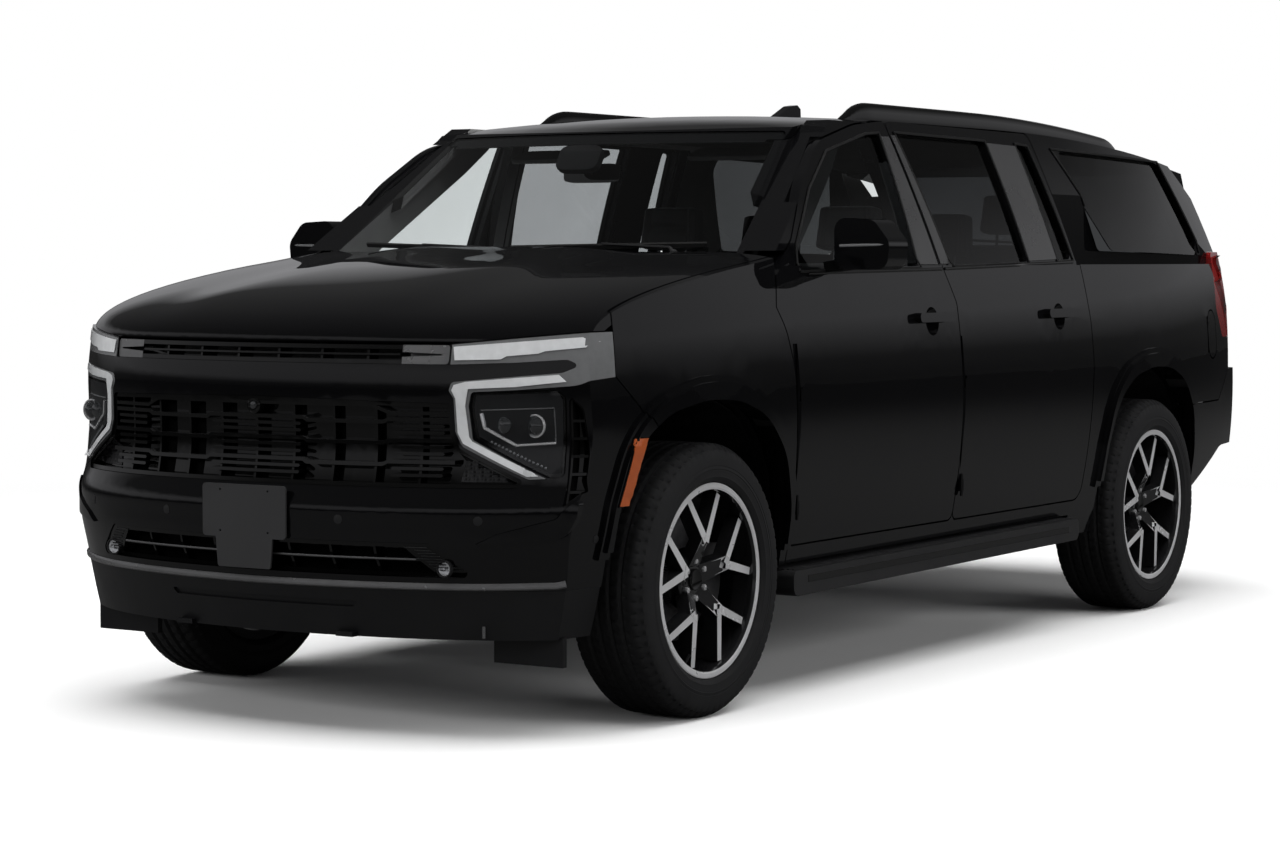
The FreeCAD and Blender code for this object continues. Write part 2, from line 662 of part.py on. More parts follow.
# Fenders
def fender():
    """Front wing: its top edge follows the hood, its front the bumper and lamp, its rear the door."""
    outline = [(y_f0 + 8, 424), (y_f0 + 8, 626), (y_f0 - 6, 1030, 300), (y_f0 - 50, 1167, 200),
               (y_f0 - 99, 1236), (y_f0 - 78, 1335), (y_f0 - 60, 1500), (hood_corner_y + 3, 1500),
               (hood_corner_y + 3, 1186), (hood_corner_y + 3, 1050), (-2262, 962, 40), (-2180, 880), (-2180, 424)]
    panel = side_slab(0, 40).common(prism_x(outline, 600, 1100))
    panel = panel.cut(hood_skin.extrude(V(0, 0, 500)).translated(V(0, 0, -1)))
    panel = panel.cut(hood_skin.extrude(V(0, 60, -130)).common(prism_z(hood_outline(shut_gap), 1000, 1700)))
    bracket = box(812 + seat_gap, 975, y_f0 - 56, y_f0 - 26, 1000, 1040)
    panel = fuse([panel, bracket, flare(y_axle_f).common(prism_x(outline, 600, 1200, 0))], False)
    return panel.cut(arch_room(y_axle_f)).cut(both(prism_y(head_lamp_outline, -3100, -2366, 4))[0])


# Nose: one wall that follows the fascia and both sides
def nose_wall(deep=55.0, side=45.0):
    """Wall of the nose: deep behind its front face, and side behind the body sides."""
    front = within_sides(fascia_skin.extrude(V(0, deep, 0)))
    flank = side_slab(0, side).common(fascia_skin.extrude(V(0, 700, 0)))
    return [front] + both(flank)


main_grille_outline = [
    (-634, 975, 15), (0, 987, 2500), (634, 975, 15), (637, 888, 20), (655, 846, 20), (816, 756, 15), (806, 735, 10),
    (-806, 735, 10), (-816, 756, 15), (-655, 846, 20), (-637, 888, 20)]
upper_grille_outline = [(-619, 1086, 8), (619, 1086, 8), (622, 1140, 8), (-622, 1140, 8)]
intake_outline = [(-593, 578, 15), (593, 578, 15), (706, 480, 15), (-706, 480, 15)]

# Each front lamp is one lit band: across the top, round the outer corner, back, down and out to a point
day_lamp_outline = [
    (628, 1142), (1040, 1186), (1040, 1120), (985, 1062, 60), (930, 1026, 60), (795, 1014), (686, 1008, 12),
    (679, 968), (688, 872, 12), (866, 762), (828, 760, 15), (660, 854, 30), (643, 895, 20), (640, 990),
    (627, 1012, 8), (634, 1036, 12), (895, 1062, 20), (930, 1082, 20), (905, 1100, 20), (795, 1092), (628, 1086)]
head_lamp_outline = day_lamp_outline
lamp_unit_outline = [(689, 1004, 5), (795, 1010), (880, 1016, 40), (904, 995, 20), (904, 764, 20), (869, 765), (692, 875, 10),
                     (683, 968)]
vent_outline = [(915, 992, 20), (938, 960, 30), (950, 830), (946, 722, 10), (912, 684), (911, 980, 8)]
hook_outline = [(717, 576), (770, 606), (904, 648, 20), (914, 668), (940, 700), (946, 690, 30), (944, 655, 40),
                (924, 602, 30), (906, 590, 40)]


def build_nose():
    band = box(-1100, 1100, -3000, -2200, bumper_bottom_z, 1144)
    rooms = [prism_y(o, -3100, -2300, trim_gap) for o in (main_grille_outline, intake_outline)]
    rooms.append(box(-622 - trim_gap, 622 + trim_gap, -3100, -2300, 1086 - trim_gap, 1200))
    rooms += [rod(V(x, -2900, z), V(x, -2700, z), 5.0) for x in plate_holes_x for z in plate_holes_z]
    for outline in (day_lamp_outline, lamp_unit_outline, vent_outline):
        rooms += both(prism_y(outline, -3100, -2366, trim_gap))
    fender_side = prism_x([(-2300, 200), (-2186, 880), (-2268, 962), (hood_corner_y - 3, 1050),
                           (hood_corner_y - 3, 1300), (-1000, 1300), (-1000, 200)], 700, 1200)
    rooms += both(fender_side) + both(arch_room(y_axle_f))
    pieces = []
    wall_pieces = nose_wall()
    for piece in wall_pieces:
        piece = piece.common(band)
        for room in rooms:
            if piece.BoundBox.intersect(room.BoundBox):
                piece = piece.cut(room)
        pieces.append(piece)
    lip = flare(y_axle_f).common(box(800, 1200, -3000, -2200, 200, 1200)).cut(fender_side)
    hook = fascia_skin.extrude(V(0, 24, 0)).translated(V(0, -9, 0)).common(prism_y(hook_outline, -3100, -2480))
    keep("front_bumper", fuse(pieces + both(lip) + both(hook), False))
    room = prism_y(day_lamp_outline, -3100, -2370)
    lamp = fuse([piece.common(room) for piece in nose_wall(62, 40)[:2]], False)
    keep("daytime_lamps", both(lamp))
    sunk = within_sides(fascia_skin.extrude(V(0, 70, 0)).translated(V(0, 12, 0)), 12)
    keep("headlamps", [sunk.common(s) for s in both(prism_y(lamp_unit_outline, -3100, -2370))])
    build_valance(wall_pieces)


def side_vent():
    """Upright slot beside the lamp, crossed by slats."""
    deep = within_sides(grille_skin.extrude(V(0, 60, 0)).translated(V(0, 6, 0)), 6)
    outline = prism_y(vent_outline, -3100, -2370)
    plug = deep.common(outline)
    frame = plug.cut(prism_y(vent_outline, -3200, -2300, -4))
    back = deep.translated(V(0, 34, 0)).common(outline)
    slats = [plug.common(box(600, 1100, -3000, -2300, z - 4, z + 4)) for z in spread(672, 925, 6)]
    return fuse([frame, back] + slats, False)


def stepped_bar(z, half, steps):
    """Long bar, given by its height offsets along one half of the grille."""
    top = [(x, z + drop + half) for x, drop in steps]
    low = [(x, z + drop - half) for x, drop in reversed(steps)]
    line = [(-x, h) for x, h in reversed(top)] + top + low + [(-x, h) for x, h in reversed(low)]
    return prism_y(line, -3100, -2300)


def strip(x0, x1, z, half):
    """Short bar with pointed ends."""
    return prism_y([(x0, z), (x0 + half, z + half), (x1 - half, z + half), (x1, z), (x1 - half, z - half),
                    (x0 + half, z - half)], -3100, -2300)


def grille(outline, blades, posts):
    """Rim and blades that follow the fascia, upright dividers behind them and a dark back plate."""
    opening = prism_y(outline, -3100, -2300)
    rim = opening.cut(prism_y(outline, -3200, -2200, -12))
    plan = fuse([rim] + blades, False).common(opening)
    front = grille_skin.extrude(V(0, 44, 0)).translated(V(0, 6, 0)).common(plan)
    back = grille_skin.extrude(V(0, 10, 0)).translated(V(0, 49, 0)).common(opening)
    dividers = Part.makeCompound([box(x - 4, x + 4, -3100, -2300, 0, 2000) for x in posts])
    web = grille_skin.extrude(V(0, 34, 0)).translated(V(0, 18, 0)).common(opening).common(dividers)
    return fuse([fuse([back] + web.Solids, False), front], False)


def build_grilles():
    long_steps = [(172, 0), (186, -8), (432, -8), (448, 0), (640, 0)]
    blades = [stepped_bar(968, 5, [(398, 0), (452, -22), (640, -22)])]
    for z in (928, 868, 807):
        blades.append(stepped_bar(z, 5.5, long_steps))
        for drop in (19, 38):
            blades.append(strip(-166, 166, z - drop, 4.5))
            blades += both(strip(458, 612, z - drop, 4.5))
    main = grille(main_grille_outline, blades, spread(-540, 540, 9))
    ends = prism_y([(486, 1086), (616, 1086), (616, 1140), (486, 1140)], -3100, -2300)
    notch = prism_y([(486, 1106), (600, 1111), (600, 1115), (486, 1120)], -3100, -2300)
    upper = grille(upper_grille_outline, [stepped_bar(1113, 2.5, [(480, 0)])] + both(ends.cut(notch)), spread(-375, 375, 6))
    pocket = prism_y([(512, 572), (588, 572), (694, 488), (592, 488)], -3100, -2300)
    lower = grille(intake_outline, [stepped_bar(530, 4, [(556, 0)])] + both(pocket), spread(-420, 420, 7))
    fog_lamps = both(rod(V(622, fascia_y(622, 505) + 3, 505), V(622, -2700, 505), 16))
    keep("grilles", [main, upper, fuse([lower] + fog_lamps, False)] + both(side_vent()))


bumper_bottom_z = 440.0
valance_bottom_z = 296.0
plate_holes_x = (-88.9, 88.9)
plate_holes_z = (591.175, 711.825)


def build_valance(wall_pieces):
    """Dark lower apron under the bumper, with two air deflectors hanging from it."""
    band = box(-1100, 1100, -3000, -2240, valance_bottom_z, bumper_bottom_z - seat_gap)
    pieces = [piece.common(band) for piece in wall_pieces]
    shelf = prism_z([(-850, -2480), (-700, -2560), (700, -2560), (850, -2480), (850, -2420), (-850, -2420)],
                    valance_bottom_z, valance_bottom_z + 14)
    tie = [box(x0, x0 + 60, -2790, -2540, valance_bottom_z, valance_bottom_z + 14) for x0 in (-330, 270)]
    deflector = box(640, 880, -2520, -2500, 215, 300)
    apron = fuse(pieces + [shelf] + tie + both(deflector), False)
    slot = fascia_skin.extrude(V(0, 30, 0)).translated(V(0, -22, 0)).common(prism_y(
        [(-330, 384, 4), (330, 384, 4), (350, 402, 4), (-350, 402, 4)], -3100, -2300))
    for room in both(arch_room(y_axle_f, 5)) + [slot]:
        apron = apron.cut(room)
    keep("front_valance", apron)


def build_plate_bracket():
    bracket = prism_y([(-155, 729, 12), (155, 729, 12), (155, 574, 12), (106, 574), (98, 486, 8), (-98, 486, 8), (-106, 574),
                       (-155, 574, 12)], -2874, -2868)
    stalk = box(-60, 60, -2874, -2790, 588, 700)
    bracket = bracket.fuse(stalk).cut(fascia_skin.extrude(V(0, 300, 0)).translated(V(0, -0.6, 0)))
    for x in plate_holes_x:
        for z in plate_holes_z:
            bracket = bracket.cut(rod(V(x, -2900, z), V(x, -2700, z), 3.5))
    keep("plate_bracket", bracket)


# Rear end
gate_axis_y = 2130.0
gate_axis_z = 1784.0
gate_edge_radius = 28.0
gate_half_width = 715.0
gate_bottom_z = 790.0
gate_hinge_x = 450.0
gate_outline = [(-gate_half_width, 1900), (gate_half_width, 1900), (gate_half_width, gate_bottom_z, 40),
                (-gate_half_width, gate_bottom_z, 40)]
gate_window = [(-590, 1748, 50), (590, 1748, 50), (650, 1415, 60), (-650, 1415, 60)]


def liftgate():
    flange = gate_skin.extrude(V(0, -22, 0)).common(prism_y(gate_outline, 1900, 3000))
    inner = gate_skin.extrude(V(0, -50, 0)).translated(V(0, -20, 0)).common(prism_y(gate_outline, 1900, 3000, -30))
    below_roof = fuse([roof_skin.extrude(V(0, 0, -1200)), box(-900, 900, 2500, 3000, 600, 1700)], False)
    gate = fuse([flange, inner], False).common(below_roof)
    lid = roof_skin.extrude(V(0, 0, -36)).common(
        box(-gate_half_width, gate_half_width, gate_axis_y, 2600, 1600, 2000)).common(
        gate_skin.extrude(V(0, -900, 0)))
    edge = roof_skin.extrude(V(0, 0, -36)).common(drum(
        -gate_half_width, gate_half_width, gate_axis_y, gate_axis_z, gate_edge_radius))
    panel = fuse([gate, lid, edge], False).cut(prism_y(gate_window, 2300, 3000))
    panel = panel.cut(gate_skin.extrude(V(0, -80, 0)).translated(V(0, -14, 0)).common(
        prism_y(gate_window, 2300, 3000, 14)))
    for s in (-1, 1):
        x = s * gate_hinge_x
        panel = panel.cut(box(x - 21.5, x + 21.5, gate_axis_y - 60, gate_axis_y + 12, 1600, 1795.5))
        panel = panel.cut(drum(x - 45, x + 45, gate_axis_y, gate_axis_z, hinge_pin_radius + running_fit))
    return panel


def gate_hinge(x):
    """Arm under the roof that rises to one liftgate pin from below, clear of the lid's turning edge."""
    y, z = gate_axis_y, gate_axis_z
    eye = fuse([box(x - 20, x + 20, y - 7, y + 7, z - 52, z), drum(x - 20, x + 20, y, z, 10)], False)
    bar = box(x - 20, x + 20, y - 120, y + 7, z - 52, z - 38)
    root = box(x - 20, x + 20, y - 120, y - 70, z - 52, z + 50)
    root = root.common(roof_skin.extrude(V(0, 0, -200)).translated(V(0, 0, -4)))
    pin = drum(x - 42, x + 42, y, z, hinge_pin_radius)
    return fuse([eye, bar, root, pin], False)


def rear_glass():
    return gate_skin.extrude(V(0, -glass_thickness, 0)).translated(V(0, -14 - seat_gap, 0)).common(
        prism_y(gate_window, 1500, 3000, 14 - seat_gap))


def tail_lamps():
    shell = within_sides(gate_skin.extrude(V(0, -900, 0))).cut(
        within_sides(gate_skin.extrude(V(0, -900, 0)).translated(V(0, -60, 0)), 48))
    lamp = shell.common(lamp_block(0)).cut(gate_room())
    return both(lamp)


def rear_bumper_y(x, z):
    return y_rear - 8 * ((z - 640) / 200.0) ** 2 - 110.0 * (x / 1000.0) ** 2 - 250.0 * (x / 1000.0) ** 6


rear_bumper_skin = skin(spread(-1010, 1010, 15), spread(380, 960, 9), lambda x, z: V(x, rear_bumper_y(x, z), z))


def rear_bumper():
    outer = within_sides(rear_bumper_skin.extrude(V(0, -900, 0)))
    inner = within_sides(rear_bumper_skin.extrude(V(0, -1000, 0)).translated(V(0, -60, 0)), 45)
    shell = outer.cut(inner)
    side_view = [(1900, 400), (2050, 430), (2480, 600, 200), (2900, 600), (2900, quarter_cut_z + 124),
                 (y_rear - 330, quarter_cut_z + 124, 60), (y_rear - 500, quarter_cut_z - 6), (1900, quarter_cut_z - 6)]
    shell = shell.common(prism_x(side_view, -1100, 1100))
    shell = shell.cut(box(-gate_half_width - 8, gate_half_width + 8, 2000, 3000, gate_bottom_z - 8, 1000))
    step = rear_bumper_skin.extrude(V(0, -230, 0)).common(
        box(-gate_half_width - 40, gate_half_width + 40, 2400, 3000, gate_bottom_z - 40, gate_bottom_z - 8))
    arms = both(box(345, 420, 2440, 2820, 600 + seat_gap, 640))
    shell = fuse([shell, step] + arms, False)
    lip = flare(y_axle_r).common(box(800, 1200, 1700, 3000, 200, quarter_cut_z - 6))
    return fuse([shell] + both(lip), False).cut(Part.makeCompound(both(arch_room(y_axle_r))))


def hitch_receiver():
    tube = box(-38, 38, y_rear - 300, y_rear - 70, 440, 516).cut(box(-25.5, 25.5, y_rear - 400, y_rear, 452.5, 503.5))
    tube = tube.cut(drum(-60, 60, y_rear - 130, 478, 8))
    cross = box(-560, 560, y_rear - 330, y_rear - 270, 440, 516)
    return fuse([tube, cross], False)


# Roof rails and running boards
def roof_rail():
    x = 627.0
    top = roof_skin.extrude(V(0, 0, 22)).translated(V(0, 0, 38)).common(box(x - 15, x + 15, -410, 2000, 1600, 2100))
    feet = []
    for y, length in ((-410, 130), (720, 100), (1880, 120)):
        feet.append(roof_skin.extrude(V(0, 0, 42)).common(box(x - 13, x + 13, y, y + length, 1600, 2100)))
    return fuse([top] + feet, False).translated(V(0, 0, seat_gap))


def running_board():
    board = prism_x([(-1392, 322, 30), (790, 335, 30), (790, 414, 20), (-1392, 402, 20)], 872, 1004)
    arms = [box(808, 880, y - 25, y + 25, 350, rocker_bottom_z - seat_gap) for y in (-1250, -380, 500)]
    return fuse([board] + arms, False)


# Chassis
rail_x = 400.0


def chassis():
    rails = []
    for s in (-1, 1):
        x0, x1 = sorted((s * 340, s * 425))
        rails += [box(x0, x1, -2700, y_rear - 330 - seat_gap, 470, 600)]
    cross = [box(-425, 425, y - 40, y + 40, 480, 590) for y in (-2640, -620, 250, 2480)]
    outriggers = []
    sill_room = lower_skin.extrude(V(400, 0, 0)).translated(V(-pillar_gap - 40 - seat_gap, 0, 0))
    for y in (-1180, -70, 780):
        outriggers += both(box(400, 900, y - 35, y + 35, 504, 578 - seat_gap).cut(sill_room))
    bumper_beam = box(-400, 400, -2731, -2700, 500, 590)
    return fuse(rails + cross + outriggers + [bumper_beam], False)


def floor_pan():
    floor = box(-800, 800, y_f0 + 152, 850, floor_z + seat_gap, floor_z + sheet_thickness)
    front = box(-699, 699, y_f0 + 20, y_f0 + 153, floor_z + seat_gap, floor_z + sheet_thickness)
    rear = box(-560, 560, 850, 2540, load_floor_z, load_floor_z + sheet_thickness)
    riser = box(-800, 800, 830, 850, floor_z + seat_gap, load_floor_z + sheet_thickness)
    wall = box(-699, 699, y_f0 - 14, y_f0 + 6, floor_z + seat_gap, 1200 - seat_gap)
    toe = box(-699, 699, y_f0 - 14, y_f0 + 30, floor_z + seat_gap, floor_z + sheet_thickness)
    return fuse([floor, front, rear, riser, wall, toe], False)


def powertrain():
    block = box(-260, 260, -2350, -1560, 560, 1080)
    gearbox = box(-150, 150, -1565, -660 - seat_gap, 330, 560)
    feet = box(-340 + seat_gap, 340 - seat_gap, -2000, -1900, 565, 595)
    return fuse([block, gearbox, box(-150, 150, -1700, -1550, 420, 700), feet], False)


def radiator():
    return fuse([box(-420, 420, -2600, -2540, 605, 1080), box(-500, 500, -2610, -2530, 600, 640)], False)


# Wheels
hub_bore = 32.0
barrel_radius = 262.0


def revolved(points, x_sign=1):
    """Solid of revolution about the wheel axis, which is X; points are (x, r)."""
    face = Part.Face(wire(points, lambda a, b: V(a, 0, b)))
    return face.revolve(V(0, 0, 0), V(1, 0, 0), 360)


def tyre():
    half = tyre_width / 2
    outline = [(-109.8, 277.4), (-110.6, 297.5), (-124, 299, 5), (-half, rim_flange_radius + 34, 40), (-half + 8, tyre_radius - 22, 25),
               (-half + 40, tyre_radius - 2, 40), (0, tyre_radius, 1500), (half - 40, tyre_radius - 2, 40),
               (half - 8, tyre_radius - 22, 25), (half, rim_flange_radius + 34, 40), (124, 299, 5), (110.6, 297.5),
               (109.8, 277.4)]
    return revolved(outline)


def rim():
    """22 inch wheel: barrel, hub and five V spokes; its outer face looks to +X."""
    half = 120.0
    barrel = revolved([(-half, rim_flange_radius), (-half, barrel_radius + 4), (half - 26, barrel_radius + 8), (half - 10, barrel_radius + 10), (half, 276),
                       (half, rim_flange_radius), (half - 9, rim_flange_radius), (half - 10, 276), (-half + 10, 276),
                       (-half + 9, rim_flange_radius)])
    hub = revolved([(20, 0), (62, 0), (62, 40, 5), (56, 78, 10), (20, 78)])
    parts = [barrel, hub]
    for k in range(5):
        axis = 92 + 72 * k
        arm = Part.makeCompound([spoke(axis, s) for s in (-1, 1)] + [stalk(axis)])
        parts += arm.Solids
    wheel = fuse(parts, False)
    wheel = wheel.cut(drum(-10, 45, 0, 0, hub_bore + running_fit))
    disc = revolved([(-30, 90), (-30, 190), (0, 190), (0, 90)])
    hat = revolved([(-30, 60), (-30, 96), (26, 96), (26, hub_bore + 1), (14, hub_bore + 1), (14, 60)])
    return fuse([wheel, disc, hat], False)


def spoke(axis, side):
    """One arm of a V, from its apex to the rim."""
    spread_deg = 19.0
    r0, r1 = 118.0, 268.0
    a0 = math.radians(axis)
    a1 = math.radians(axis + side * spread_deg)
    start = V(0, r0 * math.cos(a0), r0 * math.sin(a0))
    end = V(0, r1 * math.cos(a1), r1 * math.sin(a1))
    run = end - start
    across = V(0, -run.z, run.y).normalize()
    section = []
    for u, x_front, half_w in ((0.0, 108, 13), (1.0, 100, 11)):
        p = start + run * u
        section.append(Part.makePolygon([
            p + across * half_w + V(x_front, 0, 0), p - across * half_w + V(x_front, 0, 0),
            p - across * (half_w + 5) + V(x_front - 45, 0, 0), p + across * (half_w + 5) + V(x_front - 45, 0, 0),
            p + across * half_w + V(x_front, 0, 0)]))
    return Part.makeLoft(section, True, True)


def stalk(axis):
    """Broad root of a V, from the hub to its apex."""
    a = math.radians(axis)
    out = V(0, math.cos(a), math.sin(a))
    across = V(0, -math.sin(a), math.cos(a))
    section = []
    for r, x_front, half_w in ((40, 62, 30), (132, 108, 22)):
        p = out * r
        section.append(Part.makePolygon([
            p + across * half_w + V(x_front, 0, 0), p - across * half_w + V(x_front, 0, 0),
            p - across * (half_w + 6) + V(x_front - 42, 0, 0), p + across * (half_w + 6) + V(x_front - 42, 0, 0),
            p + across * half_w + V(x_front, 0, 0)]))
    return Part.makeLoft(section, True, True)


def build_wheels():
    rubber, metal = tyre(), rim()
    for end, y in (("front", y_axle_f), ("rear", y_axle_r)):
        place = V(wheel_x, y, tyre_radius)
        keep("tyre_%s_left" % end, rubber.translated(place))
        keep("wheel_%s_left" % end, metal.translated(place))
        keep("tyre_%s_right" % end, mirrored(rubber.translated(place)))
        keep("wheel_%s_right" % end, mirrored(metal.translated(place)))


# Suspension
ball_low = 250.0
ball_high = 600.0
ball_radius = 11.0


def knuckle():
    """Steered upright: kingpin bosses, spindle and brake caliper; y is measured from the axle."""
    up = box(-22, 22, -26, 26, ball_low - tyre_radius + 14, ball_high - tyre_radius - 14).translated(
        V(kingpin_x, 0, tyre_radius))
    spindle = drum(kingpin_x, wheel_x + 40, 0, tyre_radius, hub_bore)
    flange = drum(kingpin_x + 10, kingpin_x + 24, 0, tyre_radius, 54)
    caliper = drum(wheel_x - 50, wheel_x + 20, 0, tyre_radius, 226).cut(
        drum(wheel_x - 80, wheel_x + 40, 0, tyre_radius, 120)).common(
        box(0, 2000, 70, 230, tyre_radius - 95, tyre_radius + 95))
    caliper = caliper.cut(drum(wheel_x - 36, wheel_x + 6, 0, tyre_radius, 196))
    lug = box(kingpin_x - 15, wheel_x - 37, 15, 140, tyre_radius - 40, tyre_radius + 40)
    body = fuse([up, spindle, flange, caliper, lug], False)
    return body.cut(rod(V(kingpin_x, 0, 200), V(kingpin_x, 0, ball_low + 40), ball_radius + running_fit)).cut(
        rod(V(kingpin_x, 0, ball_high - 40), V(kingpin_x, 0, 660), ball_radius + running_fit))


def front_suspension():
    parts = []
    for z, sign in ((ball_low, -1), (ball_high, 1)):
        arm_z = z + sign * 4
        tip = rod(V(kingpin_x, 0, arm_z - 12), V(kingpin_x, 0, arm_z + 12), 26)
        blade = prism_z([(kingpin_x + 10, -22), (kingpin_x + 10, 22), (430, 190), (430, 120),
                         (600, 0, 60), (430, -120), (430, -190)], arm_z - 10, arm_z + 10)
        pin = rod(V(kingpin_x, 0, arm_z), V(kingpin_x, 0, arm_z - sign * 34), ball_radius)
        parts.append(fuse([tip, blade, pin], False))
    tower = box(425, 470, -200, 200, 240, 620)
    damper = rod(V(560, 60, ball_low + 6), V(500, 60, 900), 32)
    top = box(425, 560, 10, 110, 870, 905)
    post = box(425, 460, -60, 110, 580, 905)
    side = fuse(parts + [tower, damper, top, post], False).translated(V(0, y_axle_f, 0))
    return side


def rear_suspension():
    up = box(kingpin_x - 24, kingpin_x + 16, -60, 60, 250, 590)
    spindle = drum(kingpin_x, wheel_x + 40, 0, tyre_radius, hub_bore)
    low = prism_z([(kingpin_x, -50), (kingpin_x, 50), (425, 150), (425, -250)], 252, 280)
    high = prism_z([(kingpin_x, -30), (kingpin_x, 30), (425, 90), (425, -90)], 560, 584)
    coil = rod(V(600, 60, 275), V(600, 60, 560), 60)
    shaft = drum(120, kingpin_x, 0, tyre_radius, 22)
    tower = box(425, 470, -250, 160, 250, 600)
    side = fuse([up, spindle, low, high, coil, shaft, tower], False)
    case = box(-130, 130, -160, 140, 320, 520)
    bridge = box(-470, 470, -250, -210, 250, 470 - seat_gap)
    return fuse(both(side) + [case, bridge], False).translated(V(0, y_axle_r, 0))


def build_running_gear():
    left = knuckle().translated(V(0, y_axle_f, 0))
    keep("knuckle_left", left)
    keep("knuckle_right", mirrored(left))
    keep("front_suspension", both(front_suspension()))
    keep("rear_suspension", rear_suspension())


def wheel_liners():
    shells = []
    for y, x in ((y_axle_f, 500), (y_axle_r, 560 + seat_gap)):
        inner = shifted(arch_outline, y)
        shell = prism_x(inner, x, 902.8, 8).cut(prism_x(inner, 400, 1200, 2))
        shell = shell.common(box(300, 1200, y - 700, y + 700, 620, 1300))
        shells += both(shell)
    return shells


# Inside and underneath
def seat(x, y, z, width, depth, height, back_rake=130.0, base_z=floor_z):
    """Plain closed seat: cushion, raked back and headrest."""
    half = width / 2
    side_view = [(y, z), (y + depth, z), (y + depth + back_rake, z + height, 40), (y + depth + back_rake - 110, z + height, 40),
                 (y + depth - 130, z + 190, 60), (y, z + 170, 50)]
    body = prism_x(side_view, x - half, x + half)
    rest = prism_x([(y + depth + back_rake - 95, z + height + 30), (y + depth + back_rake, z + height + 30),
                    (y + depth + back_rake + 20, z + height + 200, 30), (y + depth + back_rake - 65, z + height + 200, 30)],
                   x - 130, x + 130)
    posts = [box(x + s * 60 - 6, x + s * 60 + 6, y + depth + back_rake - 70, y + depth + back_rake - 50,
                 z + height - 40, z + height + 60) for s in (-1, 1)]
    legs = [box(x + s * (half - 60) - 20, x + s * (half - 60) + 20, y + 60, y + depth - 60,
                base_z + sheet_thickness, z + 10) for s in (-1, 1)]
    return fuse([body, rest] + posts + legs, False)


def dashboard():
    panel = prism_x([(-1330, 900, 40), (-1180, 860, 60), (-900, 960, 60), (-880, 1120, 60), (-960, 1210, 60), (-1330, 1230, 40)], -680, 680)
    console = prism_x([(-1340, floor_z + sheet_thickness), (-150, floor_z + sheet_thickness), (-150, 900, 30),
                       (-900, 930), (-960, 1000), (-1340, 1000)], -114, 114)
    column = rod(steering_centre - steering_rake * 300, steering_centre - steering_rake * 26.5, 24)
    wall_tie = box(-600, 600, y_f0 + 6 + seat_gap, -1300, 1000, 1060)
    dash = fuse([panel, console, column, wall_tie], False)
    return dash.cut(rod(steering_centre - steering_rake * 120, steering_centre, shaft_radius + running_fit))


steering_centre = V(380, -770, 1130)
steering_rake = V(0, 0.906, 0.423)
wheel_rim_radius = 185.0
shaft_radius = 12.0


def steering_wheel():
    ring = Part.makeTorus(wheel_rim_radius, 15, steering_centre, steering_rake)
    hub = rod(steering_centre - steering_rake * 26, steering_centre + steering_rake * 16, 62)
    across = V(1, 0, 0)
    down = across.cross(steering_rake)
    arms = [rod(steering_centre, steering_centre + d * wheel_rim_radius, 11) for d in (across, across * -1, down)]
    if (steering_centre + down * 10).z > steering_centre.z:
        arms[2] = rod(steering_centre, steering_centre - down * wheel_rim_radius, 11)
    shaft = rod(steering_centre - steering_rake * 100, steering_centre, shaft_radius)
    return fuse([ring, hub, shaft] + arms, False)


exhaust_route = [(-1300, 400), (1180, 400), (1240, 528), (1850, 528), (1960, 430), (2350, 430)]


def exhaust():
    """Pipe with a muffler, led over the rear axle and out behind it."""
    parts = [rod(V(-250, 480, 400), V(-250, 1120, 400), 80)]
    for (y0, z0), (y1, z1) in zip(exhaust_route, exhaust_route[1:]):
        parts.append(rod(V(-250, y0, z0), V(-250, y1, z1), 30))
        parts.append(Part.makeSphere(30, V(-250, y1, z1)))
    hangers = [box(-258, -242, y - 8, y + 8, 425, 480 - seat_gap) for y in (-620, 250)]
    hangers.append(box(-340 + seat_gap, -245, 2290, 2306, 440, 490))
    return fuse(parts[:-1] + hangers, False)


def mirror():
    shell = prism_y([(1010, 1352, 30), (1200, 1352, 40), (1209, 1440, 50), (1150, 1512, 50), (1010, 1519, 40)], -1150, -1020)
    foot = prism_y([(900, 1332), (1040, 1352), (1040, 1390), (900, 1366)], -1130, -1060)
    shape = fuse([shell, foot], False)
    return shape.cut(side_slab(-seat_gap, 300)).cut(side_slab(-seat_gap, 300, upper_skin))


def build_all():
    build_doors()
    left = build_body_side()
    keep("body_side_right", mirrored(left))
    keep("body_side_left", left)
    build_nose()
    build_grilles()
    build_plate_bracket()
    keep("fenders", both(fender()))
    keep("hood", hood())
    keep("roof_panel", roof_panel())
    keep("windshield", windshield())
    keep("cowl", cowl())
    keep("quarter_glass", both(pane(quarter_window)))
    keep("fuel_door", fuel_door())
    keep("liftgate", liftgate())
    keep("rear_glass", rear_glass())
    keep("tail_lamps", tail_lamps())
    keep("rear_bumper", rear_bumper())
    keep("hitch_receiver", hitch_receiver())
    keep("roof_rails", both(roof_rail()))
    keep("running_boards", both(running_board()))
    keep("chassis_frame", chassis())
    keep("floor_pan", floor_pan())
    keep("powertrain", powertrain())
    keep("radiator", radiator())
    build_wheels()
    build_running_gear()
    keep("wheel_liners", wheel_liners())
    keep("dashboard", dashboard())
    keep("steering_wheel", steering_wheel())
    keep("front_seats", [seat(s * 380, -520, 740, 520, 560, 640) for s in (-1, 1)])
    keep("middle_seats", [seat(s * 380, 300, 740, 520, 490, 620) for s in (-1, 1)])
    keep("third_seats", [seat(s * 275, 1250, 930, 500, 400, 520, 110, load_floor_z) for s in (-1, 1)])
    keep("mirror_left", mirror())
    keep("mirror_right", mirrored(mirror()))
    keep("exhaust", exhaust())


build_all()
os.makedirs("parts", exist_ok=True)
for name, solids in nodes.items():
    shape = Part.makeCompound(solids) if len(solids) > 1 else solids[0]
    shape.exportStep("parts/" + name + ".step")
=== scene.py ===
import bpy, bmesh, math
import numpy as np
from mathutils import Vector, Matrix


